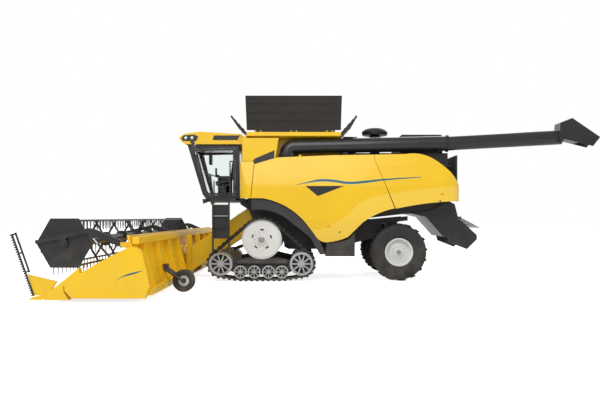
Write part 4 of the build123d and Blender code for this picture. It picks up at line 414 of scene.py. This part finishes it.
endMarks = dict(
    span=((4.20, 0.30), (4.80, 0.80)), reach=(4.78, 4.25), taper=(4.5, 4.4), half=0.013, edge=0.020,
    stripe=((4.78, 0.434), (4.62, 0.53), (4.45, 0.58), (4.25, 0.637)),
)
stripeColours = dict(core=(0.002, 0.075, 0.17, 1), edge=(0.05, 0.25, 0.15, 1), frontTip=0.1, backTip=0.25)


def heightAlong(tree, along, points, span):
    # the height of a painted line as a curve over the machine's length
    (fromX, fromZ), (toX, toZ) = span
    node = addNode(tree, "ShaderNodeFloatCurve")
    tree.links.new(spreadOver(tree, along, fromX, toX), node.inputs["Value"])
    curve = node.mapping.curves[0]
    ordered = sorted(((x - fromX) / (toX - fromX), (z - fromZ) / (toZ - fromZ)) for x, z in points)
    curve.points[0].location = ordered[0]
    curve.points[1].location = ordered[-1]
    for place in ordered[1:-1]:
        curve.points.new(*place)
    node.mapping.extend = "HORIZONTAL"
    node.mapping.update()
    return spreadOver(tree, node.outputs["Value"], 0.0, 1.0, fromZ, toZ)


def insideCorners(tree, along, up, corners):
    # 1 inside a shape whose corners run anticlockwise
    mask = 1.0
    for (x0, z0), (x1, z1) in zip(corners, corners[1:] + corners[:1]):
        slope = mathNode(tree, "MULTIPLY", along, z0 - z1)
        rise = mathNode(tree, "MULTIPLY_ADD", up, x1 - x0, slope)
        inside = mathNode(tree, "GREATER_THAN", rise, (x1 - x0) * z0 - (z1 - z0) * x0)
        mask = inside if mask == 1.0 else mathNode(tree, "MULTIPLY", mask, inside)
    return mask


def startMarks(name):
    # a copy of the yellow with its length and height to paint by
    finish = finishes["warmYellow"].copy()
    finish.name = name
    tree = finish.node_tree
    place = addNode(tree, "ShaderNodeSeparateXYZ")
    tree.links.new(addNode(tree, "ShaderNodeTexCoord").outputs["Object"], place.inputs[0])
    shader = tree.nodes["Principled BSDF"]
    base = shader.inputs["Base Color"].links[0].from_socket
    return finish, tree, shader, place.outputs["X"], place.outputs["Z"], base


def addStripe(tree, base, along, up, marks):
    middle = heightAlong(tree, along, marks["stripe"], marks["span"])
    away = mathNode(tree, "ABSOLUTE", mathNode(tree, "SUBTRACT", up, middle))
    front, back = marks["reach"]
    frontFull, backFull = marks["taper"]
    inLength = mathNode(tree, "MULTIPLY", mathNode(tree, "LESS_THAN", along, front),
                        mathNode(tree, "GREATER_THAN", along, back))
    taper = mathNode(tree, "MULTIPLY",
                     spreadOver(tree, along, front, frontFull, stripeColours["frontTip"], 1.0),
                     spreadOver(tree, along, back, backFull, stripeColours["backTip"], 1.0))
    colour = base
    for part, half in (("edge", marks["edge"]), ("core", marks["half"])):
        band = mathNode(tree, "LESS_THAN", away, mathNode(tree, "MULTIPLY", taper, half))
        colour = mixColour(tree, mathNode(tree, "MULTIPLY", band, inLength), colour, stripeColours[part])
    return colour


def makePanelPaint():
    finish, tree, shader, along, up, base = startMarks("stripedYellowPaintedHighlight")
    # painted highlight: the lower flank is lightened where the chamfer along its lower edge catches the
    # light
    chamferHighlightTop = heightAlong(tree, along, panelMarks["chamferHighlightEdge"], panelMarks["chamferHighlightSpan"])
    low = mathNode(tree, "LESS_THAN", up, chamferHighlightTop)
    chamferHighlightMask = mathNode(tree, "MULTIPLY", low, panelMarks["chamferHighlightShare"])
    colour = mixColour(tree, chamferHighlightMask, base, panelMarks["chamferHighlight"])
    colour = addStripe(tree, colour, along, up, panelMarks)
    vent = insideCorners(tree, along, up, panelMarks["vent"])
    tree.links.new(mixColour(tree, vent, colour, panelMarks["ventColour"]), shader.inputs["Base Color"])
    # the pressed crease and the vent's edge are steps in the bump
    creaseLine = heightAlong(tree, along, panelMarks["crease"], panelMarks["span"])
    away = mathNode(tree, "SUBTRACT", up, creaseLine)
    groove = spreadOver(tree, mathNode(tree, "ABSOLUTE", away), 0.0, panelMarks["creaseHalf"])
    step = spreadOver(tree, away, -panelMarks["stepHalf"], panelMarks["stepHalf"],
                      0.0, panelMarks["stepHeight"])
    bump = shader.inputs["Normal"].links[0].from_node
    grain = bump.inputs["Height"].links[0].from_socket
    faintGrain = mathNode(tree, "MULTIPLY", grain, panelMarks["grainShare"])
    total = mathNode(tree, "ADD", faintGrain, mathNode(tree, "ADD", groove, step))
    total = mathNode(tree, "SUBTRACT", total, mathNode(tree, "MULTIPLY", vent, panelMarks["stepHeight"]))
    tree.links.new(total, bump.inputs["Height"])
    bump.inputs["Strength"].default_value = panelMarks["bump"]
    return finish


def makeEndPaint():
    finish, tree, shader, along, up, base = startMarks("stripedEnds")
    tree.links.new(addStripe(tree, base, along, up, endMarks), shader.inputs["Base Color"])
    return finish


finishes["stripedEnds"] = makeEndPaint()
finishes["stripedYellowPaintedHighlight"] = makePanelPaint()

# Clear panes with a thin film of dust
glassValues = dict(tint=(0.90, 0.94, 0.93, 1), rough=0.03, film=0.05, ceiling=4.0, grain=14, spread=0.04,
                   index=1.05)


def makeGlass():
    finish, tree, shader = newFinish("cabGlass")
    dusted = placeGroup(tree, fieldDust, Colour=glassValues["tint"], Amount=glassValues["film"],
                        Ceiling=glassValues["ceiling"])
    tree.links.new(dusted.outputs["Colour"], shader.inputs["Base Color"])
    grained = placeGroup(tree, fineGrain, Scale=glassValues["grain"], Roughness=glassValues["rough"],
                         Spread=glassValues["spread"])
    tree.links.new(grained.outputs["Roughness"], shader.inputs["Roughness"])
    shader.inputs["Metallic"].default_value = 0.0
    shader.inputs["Transmission Weight"].default_value = 1.0
    shader.inputs["IOR"].default_value = glassValues["index"]
    return finish


# Woven cloth of the driver's seat
clothValues = dict(colour=(0.03, 0.03, 0.034, 1), thread=(0.07, 0.07, 0.078, 1), threads=420, bump=0.5,
                   threadDepth=0.001, drift=0.25, driftScale=8.0, rough=0.88, grain=300, sheen=0.3)


def makeCloth():
    finish, tree, shader = newFinish("seatCloth")
    place = addNode(tree, "ShaderNodeTexCoord").outputs["Object"]
    warp = addNode(tree, "ShaderNodeTexWave", wave_type="BANDS", bands_direction="Y")
    weft = addNode(tree, "ShaderNodeTexWave", wave_type="BANDS", bands_direction="Z")
    for wave in (warp, weft):
        wave.inputs["Scale"].default_value = clothValues["threads"]
        tree.links.new(place, wave.inputs["Vector"])
    weave = mathNode(tree, "MULTIPLY", warp.outputs["Fac"], weft.outputs["Fac"])
    colour = mixColour(tree, weave, clothValues["colour"], clothValues["thread"])
    drifted = placeGroup(tree, toneDrift, Colour=colour, Drift=clothValues["drift"],
                         Scale=clothValues["driftScale"])
    bump = addNode(tree, "ShaderNodeBump")
    bump.inputs["Strength"].default_value = clothValues["bump"]
    bump.inputs["Distance"].default_value = clothValues["threadDepth"]
    tree.links.new(weave, bump.inputs["Height"])
    tree.links.new(bump.outputs["Normal"], shader.inputs["Normal"])
    tree.links.new(drifted.outputs["Colour"], shader.inputs["Base Color"])
    grained = placeGroup(tree, fineGrain, Scale=clothValues["grain"], Roughness=clothValues["rough"])
    tree.links.new(grained.outputs["Roughness"], shader.inputs["Roughness"])
    shader.inputs["Sheen Weight"].default_value = clothValues["sheen"]
    return finish


finishes["cabGlass"] = makeGlass()
finishes["seatCloth"] = makeCloth()
print("finishes made")

# Which CAD nodes wear each finish
nodesByFinish = {
    "beltRubber": ("track_belts",),
    "wheelWhite": ("drive_wheels", "rear_rim_left", "rear_rim_right"),
    "castSilver": ("track_rollers",),
    "chassisGrey": ("track_frames", "front_axle", "rear_axle", "knuckle_left", "knuckle_right",
                    "main_frame", "threshing_housing"),
    "tyreRubber": ("rear_tyre_left", "rear_tyre_right", "gauge_wheel_left", "gauge_wheel_right"),
    "stripedYellowPaintedHighlight": ("main_panel_left", "main_panel_right", "rear_panel_left", "rear_panel_right"),
    "grainedPlastic": ("rear_hood", "radiator_box", "track_arches", "side_lockers", "cab_controls"),
    "warmYellow": ("front_shields", "grain_tank", "feeder_house", "header_frame", "intake_auger",
                   "cab_roof"),
    "coverBlack": ("side_cover_left", "side_cover_right", "front_cover", "rear_cover"),
    "satinBlack": ("upper_deck", "dust_dome", "side_knives", "reel", "reel_arms", "header_lift_barrels",
                   "reel_lift_barrels", "gauge_arms", "unload_inner", "unload_outer", "cab_frame",
                   "cab_door", "cab_ladder", "straw_chopper", "spreader_frame"),
    "engineIron": ("engine_block",),
    "stripedEnds": ("end_sheets",),
    "wornSteel": ("cutter_bar",),
    "hardChrome": ("header_lift_rods", "reel_lift_rods"),
    "cabGlass": ("cab_glass", "door_glass"),
    "seatCloth": ("driver_seat",),
}
for finishName, nodeNames in nodesByFinish.items():
    for nodeName in nodeNames:
        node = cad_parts[nodeName]
        node.data.materials.clear()
        node.data.materials.append(finishes[finishName])
print("frame dressed")

# Small pieces that the CAD leaves to the scene, many of them on the skin that carries them
outsideY = 9.0


def skinY(nodeName, x, z):
    # where a ray from the machine's left side first meets the node
    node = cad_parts[nodeName]
    hit, place = node.ray_cast(Vector((x, outsideY, z)), Vector((0, -1, 0)))[:2]
    if not hit:
        raise RuntimeError(f"{nodeName} has no skin at {x:.2f}, {z:.2f}")
    return place.y


def onBothSides(piece, name, bodies, finish="grainedPlastic"):
    twin = mirrored(piece)
    finished(piece, name + "Left", bodies[0], finishes[finish])
    finished(twin, name + "Right", bodies[-1], finishes[finish])


def platePiece(points, y, thick, soft=0.0015):
    # a flat plate that faces sideways, from its outline in length and height
    nothingSelected()
    outline = bpy.data.curves.new("outline", "CURVE")
    outline.dimensions = "2D"
    outline.fill_mode = "BOTH"
    outline.extrude = thick / 2 - soft
    outline.bevel_depth = soft
    spline = outline.splines.new("POLY")
    spline.points.add(len(points) - 1)
    for point, (x, z) in zip(spline.points, points):
        point.co = (x, z, 0, 1)
    spline.use_cyclic_u = True
    piece = bpy.data.objects.new("plate", outline)
    bpy.context.scene.collection.objects.link(piece)
    pick(piece)
    bpy.ops.object.convert(target="MESH")
    piece = bpy.context.object
    piece.rotation_euler = (math.pi / 2, 0, 0)
    piece.location = (0, y, 0)
    return settle(piece)


# The driver's seat: cushion and back filled out by a cloth simulation, then sewn channels
seatValues = dict(
    cushion=((3.158, -0.228, 2.636), (3.575, 0.228, 2.722)),
    back=((3.092, -0.212, 2.765), (3.158, 0.212, 3.302)),
    base=((3.26, -0.165, 2.272), (3.50, 0.165, 2.629)), baseSoft=0.012,
    pan=((3.17, -0.20, 2.60), (3.56, 0.20, 2.632)), panSoft=0.01,
    lean=0.14, leanFrom=2.74, soft=0.03, voxel=0.009, pressure=4.0, steps=20, cap=0.011,
    channels=(-0.105, 0.105), channelWide=0.012, channelDeep=0.007, facing=0.3,
)


def padPiece(low, high):
    piece = boxPiece(low, high, 0)
    softened(piece, seatValues["soft"], 4)
    applied(piece, "REMESH", mode="VOXEL", voxel_size=seatValues["voxel"])
    start = [vertex.co.copy() for vertex in piece.data.vertices]
    pick(piece)
    bpy.ops.object.modifier_add(type="CLOTH")
    cloth = piece.modifiers[-1]
    cloth.settings.use_pressure = True
    cloth.settings.uniform_pressure_force = seatValues["pressure"]
    cloth.settings.effector_weights.gravity = 0
    for step in range(1, seatValues["steps"] + 1):
        bpy.context.scene.frame_set(step)
    bpy.ops.object.modifier_apply(modifier=cloth.name)
    bpy.context.scene.frame_set(1)
    for vertex, place in zip(piece.data.vertices, start):
        away = vertex.co - place
        if away.length > seatValues["cap"]:
            vertex.co = place + away * (seatValues["cap"] / away.length)
    return piece


def sewn(piece, face):
    # channels pressed into the side that the driver touches
    axis = Vector(face)
    dents = []
    for vertex in piece.data.vertices:
        if vertex.normal.dot(axis) < seatValues["facing"]:
            continue
        deep = sum(math.exp(-((vertex.co.y - seam) / seatValues["channelWide"]) ** 2)
                   for seam in seatValues["channels"])
        dents.append((vertex.index, vertex.normal.copy() * min(deep, 1) * seatValues["channelDeep"]))
    for index, dent in dents:
        piece.data.vertices[index].co -= dent
    return applied(piece, "SUBSURF", levels=1, render_levels=1)


seatCushion = sewn(padPiece(*seatValues["cushion"]), (0, 0, 1))
seatBack = padPiece(*seatValues["back"])
for vertex in seatBack.data.vertices:
    vertex.co.x -= seatValues["lean"] * (vertex.co.z - seatValues["leanFrom"])
seatBack = sewn(seatBack, (1, 0, seatValues["lean"]))
seatBase = joined([
    boxPiece(*seatValues["base"], seatValues["baseSoft"]),
    boxPiece(*seatValues["pan"], seatValues["panSoft"]),
])
finished(seatCushion, "seatCushion", "root", finishes["seatCloth"])
finished(seatBack, "seatBack", "root", finishes["seatCloth"])
finished(seatBase, "seatBase", "root", finishes["grainedPlastic"])
for piece in (seatCushion, seatBack, seatBase):
    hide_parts("driver_seat")
print("seat padded")

# Cab roof: side inlays, lamp recesses at the corners and the work lamps under the brow
roofValues = dict(
    inlay=((2.80, 3.925), (2.86, 3.80), (3.54, 3.80), (3.50, 3.925)),
    corner=((3.93, 3.90), (3.99, 3.775), (4.34, 3.775), (4.40, 3.84), (4.33, 3.93), (4.05, 3.95)),
    sideY=1.0585, thick=0.012, cornerLamps=((4.10, 3.86), (4.27, 3.86)), cornerRadius=0.05,
    cornerRing=0.018, cornerLens=0.022, cornerLensSoft=0.004,
    browLamps=(0.92, 0.66, 0.40), browAt=(4.418, 3.815), browRun=(0.877, -0.48), browRadius=0.055,
    browDeep=0.03, browOut=0.012, browLens=0.003, lensShare=0.82, sides=24, soft=0.003,
)
for name, outline in (("roofInlay", "inlay"), ("lampRecess", "corner")):
    onBothSides(platePiece(roofValues[outline], roofValues["sideY"], roofValues["thick"]), name, ["root"])
rings, lenses = [], []
sideY, sides, soft = roofValues["sideY"], roofValues["sides"], roofValues["soft"]
ringRadius = roofValues["cornerRadius"]
lensRadius = ringRadius * roofValues["lensShare"]
for x, z in roofValues["cornerLamps"]:
    ringEnd = (x, sideY + roofValues["cornerRing"], z)
    lensEnd = (x, sideY + roofValues["cornerLens"], z)
    rings.append(rodPiece((x, sideY, z), ringEnd, ringRadius, sides, soft=soft))
    lenses.append(rodPiece((x, sideY, z), lensEnd, lensRadius, sides, soft=roofValues["cornerLensSoft"]))
runX, runZ = roofValues["browRun"]
browX, browZ = roofValues["browAt"]
deep, out, lensOut = roofValues["browDeep"], roofValues["browOut"], roofValues["browLens"]
ringRadius = roofValues["browRadius"]
lensRadius = ringRadius * roofValues["lensShare"]
for y in roofValues["browLamps"]:
    start = (browX - runX * deep, y, browZ - runZ * deep)
    ringEnd = (browX + runX * out, y, browZ + runZ * out)
    lensEnd = (ringEnd[0] + runX * lensOut, y, ringEnd[2] + runZ * lensOut)
    rings.append(rodPiece(start, ringEnd, ringRadius, sides, soft=soft))
    lenses.append(rodPiece(start, lensEnd, lensRadius, sides, soft=soft))
onBothSides(joined(rings), "roofLampRings", ["root"])
onBothSides(joined(lenses), "roofLampLenses", ["root"], "lampLens")

# Mirrors on arms clear of the door's swing
mirrorValues = dict(
    head=((3.90, 1.62, 3.335), (4.0, 1.84, 3.68)), headSoft=0.03,
    face=((3.897, 1.635, 3.35), (3.903, 1.825, 3.665)), faceSoft=0.002,
    arm=((4.16, 1.0, 3.73), (4.06, 1.3, 3.76), (3.97, 1.66, 3.75), (3.955, 1.73, 3.70), (3.95, 1.73, 3.66)),
    radius=0.016,
)
mirrorHead = joined([
    boxPiece(*mirrorValues["head"], mirrorValues["headSoft"]),
    tubePiece(mirrorValues["arm"], mirrorValues["radius"]),
])
onBothSides(mirrorHead, "mirror", ["root"])
mirrorFace = boxPiece(*mirrorValues["face"], mirrorValues["faceSoft"])
onBothSides(mirrorFace, "mirrorGlass", ["root"], "mirrorFace")

# Low lamps beside the cab's foot: each widens to the front, where its lens sits
lowLampValues = dict(
    back=(3.69, 0.84, 2.16), front=(3.83, 0.84, 2.13), radius=0.068, backShare=0.6, soft=0.006,
    lens=((3.822, 0.84, 2.132), (3.836, 0.84, 2.129)), lensShare=0.86, lensSoft=0.004, sides=28,
)
frontRadius, sides = lowLampValues["radius"], lowLampValues["sides"]
lowLamp = rodPiece(lowLampValues["back"], lowLampValues["front"], frontRadius * lowLampValues["backShare"],
                   sides, frontRadius, lowLampValues["soft"])
onBothSides(lowLamp, "lowLamp", ["root"])
lowLens = rodPiece(*lowLampValues["lens"], frontRadius * lowLampValues["lensShare"], sides,
                   soft=lowLampValues["lensSoft"])
onBothSides(lowLens, "lowLampLens", ["root"], "lampLens")

# Windscreen wiper, resting low on the sloping glass
wiperValues = dict(
    arm=((3.93, 0.0, 2.44), (4.062, 0.50, 2.90)), armRadius=0.009,
    blade=((4.02, 0.30, 2.68), (4.092, 0.62, 3.06)), bladeRadius=0.007, sides=10,
)
wiper = joined([
    rodPiece(*wiperValues["arm"], wiperValues["armRadius"], wiperValues["sides"]),
    rodPiece(*wiperValues["blade"], wiperValues["bladeRadius"], wiperValues["sides"]),
])
finished(wiper, "windscreenWiper", "root", finishes["grainedPlastic"])
print("cab fitted out")

# Flanks: the dark vent in the corner shield, the reflectors and the panel latches
flankValues = dict(
    vent=((2.458, 3.112), (2.364, 3.25), (1.83, 3.478), (1.85, 3.18)), ventThick=0.01, ventOut=0.002,
    ventSkin=(2.2, 3.25),
    panels=("main_panel_left", "rear_panel_left"),
    reflectors=((0.396, 1.45), (-2.60, 2.30)), reflector=(0.09, 0.04), reflectorOut=0.007,
    reflectorSoft=0.004,
    latches=((0.10, 1.30), (-2.55, 2.12)), latchRadius=0.022, latchOut=0.006, latchSides=20,
    latchSoft=0.002, sunk=0.006,
)
ventY = skinY("front_shields", *flankValues["ventSkin"]) + flankValues["ventOut"]
onBothSides(platePiece(flankValues["vent"], ventY, flankValues["ventThick"]), "cornerVent", ["root"])
wide, tall = flankValues["reflector"]
for number, (nodeName, (x, z)) in enumerate(zip(flankValues["panels"], flankValues["reflectors"])):
    skin = skinY(nodeName, x, z)
    low = (x - wide / 2, skin - flankValues["sunk"], z - tall / 2)
    high = (x + wide / 2, skin + flankValues["reflectorOut"], z + tall / 2)
    marker = boxPiece(low, high, flankValues["reflectorSoft"])
    bothPanels = [nodeName, nodeName.replace("left", "right")]
    onBothSides(marker, f"sideMarker{number}", bothPanels, "amberLens")
for number, (nodeName, (x, z)) in enumerate(zip(flankValues["panels"], flankValues["latches"])):
    skin = skinY(nodeName, x, z)
    inner, outer = (x, skin - flankValues["sunk"], z), (x, skin + flankValues["latchOut"], z)
    latch = rodPiece(inner, outer, flankValues["latchRadius"], flankValues["latchSides"],
                     soft=flankValues["latchSoft"])
    onBothSides(latch, f"panelLatch{number}", [nodeName, nodeName.replace("left", "right")])

# Tail lamps on the rear hood: red below, the amber signal above
tailValues = dict(low=(-3.172, 0.86, 2.26), high=(-3.140, 0.99, 2.44), split=2.35, gap=0.004, soft=0.01)
lowX, lowY, lowZ = tailValues["low"]
highX, highY, highZ = tailValues["high"]
split, soft = tailValues["split"], tailValues["soft"]
redLamp = boxPiece((lowX, lowY, lowZ), (highX, highY, split), soft)
amberLamp = boxPiece((lowX, lowY, split + tailValues["gap"]), (highX, highY, highZ), soft)
onBothSides(redLamp, "tailLamp", ["root"], "redLens")
onBothSides(amberLamp, "tailSignal", ["root"], "amberLens")

# Wheel bolts and hub caps
boltValues = dict(radius=0.012, out=0.014, sides=6, soft=0.001, sunk=0.004, capOut=0.02, capSides=28,
                  capSoft=0.005)
hubValues = dict(
    drive=dict(centre=(2.160, 1.107), node="drive_wheels", bodies=["root"], ring=0.20, bolts=10, cap=0.085),
    rear=dict(centre=(-1.470, 0.765), node="rear_rim_left", bodies=["rear_wheel_left", "rear_wheel_right"],
              ring=0.165, bolts=10, cap=0.06),
)
sunk = boltValues["sunk"]
for name, values in hubValues.items():
    x, z = values["centre"]
    skin = skinY(values["node"], x + values["ring"], z)
    pieces = []
    for number in range(values["bolts"]):
        turn = 2 * math.pi * number / values["bolts"]
        boltX, boltZ = x + values["ring"] * math.cos(turn), z + values["ring"] * math.sin(turn)
        inner, outer = (boltX, skin - sunk, boltZ), (boltX, skin + boltValues["out"], boltZ)
        pieces.append(rodPiece(inner, outer, boltValues["radius"], boltValues["sides"],
                               soft=boltValues["soft"]))
    hubSkin = skinY(values["node"], x, z)
    inner, outer = (x, hubSkin - sunk, z), (x, hubSkin + boltValues["capOut"], z)
    pieces.append(rodPiece(inner, outer, values["cap"], boltValues["capSides"], soft=boltValues["capSoft"]))
    onBothSides(joined(pieces), name + "HubBolts", values["bodies"], "wornSteel")

# White rims of the gauge wheels
gaugeValues = dict(centre=(3.770, 0.262), bodies=["gauge_wheel_left", "gauge_wheel_right"], rim=0.135,
                   skinAt=0.09, sunk=0.01, out=0.008, sides=32, soft=0.004)
x, z = gaugeValues["centre"]
skin = skinY(gaugeValues["bodies"][0], x + gaugeValues["skinAt"], z)
inner, outer = (x, skin - gaugeValues["sunk"], z), (x, skin + gaugeValues["out"], z)
gaugeRim = rodPiece(inner, outer, gaugeValues["rim"], gaugeValues["sides"], soft=gaugeValues["soft"])
onBothSides(gaugeRim, "gaugeRim", gaugeValues["bodies"], "wheelWhite")
print("small pieces placed")

# Camera, on the machine's left as in the photograph
viewPlace = dict(place=(1.15, 19.7, 1.69), lens=40.92, sensor=36, lift=0.0288, reach=400)
nothingSelected()
bpy.ops.object.camera_add(location=viewPlace["place"], rotation=(math.pi / 2, 0, math.pi))
camera = bpy.context.object
camera.data.lens = viewPlace["lens"]
camera.data.sensor_width = viewPlace["sensor"]
camera.data.shift_y = viewPlace["lift"]
camera.data.clip_end = viewPlace["reach"]
bpy.context.scene.camera = camera

# White floor and sky. The camera sees them brighter than they light the machine.
stageValues = dict(reach=120.0, floorColour=(0.85, 0.85, 0.85, 1), floorGlow=0.8, skyLevel=0.5)


def seenDirectly(tree):
    # 1 for rays from the camera, straight or through the glass
    light = addNode(tree, "ShaderNodeLightPath")
    return mathNode(tree, "MAXIMUM", light.outputs["Is Camera Ray"], light.outputs["Is Transmission Ray"])


bpy.ops.mesh.primitive_plane_add(size=2 * stageValues["reach"], location=(0, 0, 0))
floor = bpy.context.object
floor.name = "studioFloor"
floorFinish = bpy.data.materials.new("studioWhite")
floorFinish.use_nodes = True
tree = floorFinish.node_tree
tree.nodes.clear()
matte = addNode(tree, "ShaderNodeBsdfDiffuse")
matte.inputs["Color"].default_value = stageValues["floorColour"]
glow = addNode(tree, "ShaderNodeEmission")
shine = mathNode(tree, "MULTIPLY", seenDirectly(tree), stageValues["floorGlow"])
tree.links.new(shine, glow.inputs["Strength"])
together = addNode(tree, "ShaderNodeAddShader")
surface = addNode(tree, "ShaderNodeOutputMaterial")
tree.links.new(matte.outputs[0], together.inputs[0])
tree.links.new(glow.outputs[0], together.inputs[1])
tree.links.new(together.outputs[0], surface.inputs[0])
floor.data.materials.append(floorFinish)

world = bpy.data.worlds.new("studio")
bpy.context.scene.world = world
world.use_nodes = True
tree = world.node_tree
sky = tree.nodes["Background"]
sky.inputs["Color"].default_value = (1, 1, 1, 1)
skyStrength = spreadOver(tree, seenDirectly(tree), 0, 1, stageValues["skyLevel"], 1.0)
tree.links.new(skyStrength, sky.inputs["Strength"])

# Soft lamps round the machine
lampValues = (
    dict(name="leftSoftbox", place=(3.0, 15.0, 12.0), aim=(0, 1.5, 1.5), size=12, power=1450),
    dict(name="rightSoftbox", place=(-4.0, -15.0, 12.0), aim=(0, -1.5, 1.5), size=12, power=1000),
    dict(name="frontSoftbox", place=(17.0, 6.0, 7.0), aim=(4, 0, 1.0), size=8, power=560),
    dict(name="backSoftbox", place=(-17.0, 4.0, 8.0), aim=(-3, 0, 1.5), size=8, power=520),
)
for values in lampValues:
    nothingSelected()
    bpy.ops.object.light_add(type="AREA", location=values["place"])
    lamp = bpy.context.object
    lamp.name = values["name"]
    run = Vector(values["aim"]) - Vector(values["place"])
    lamp.rotation_euler = run.to_track_quat("-Z", "Y").to_euler()
    lamp.data.size = values["size"]
    lamp.data.energy = values["power"]
bpy.context.scene.view_settings.view_transform = "Standard"
print("stage lit")
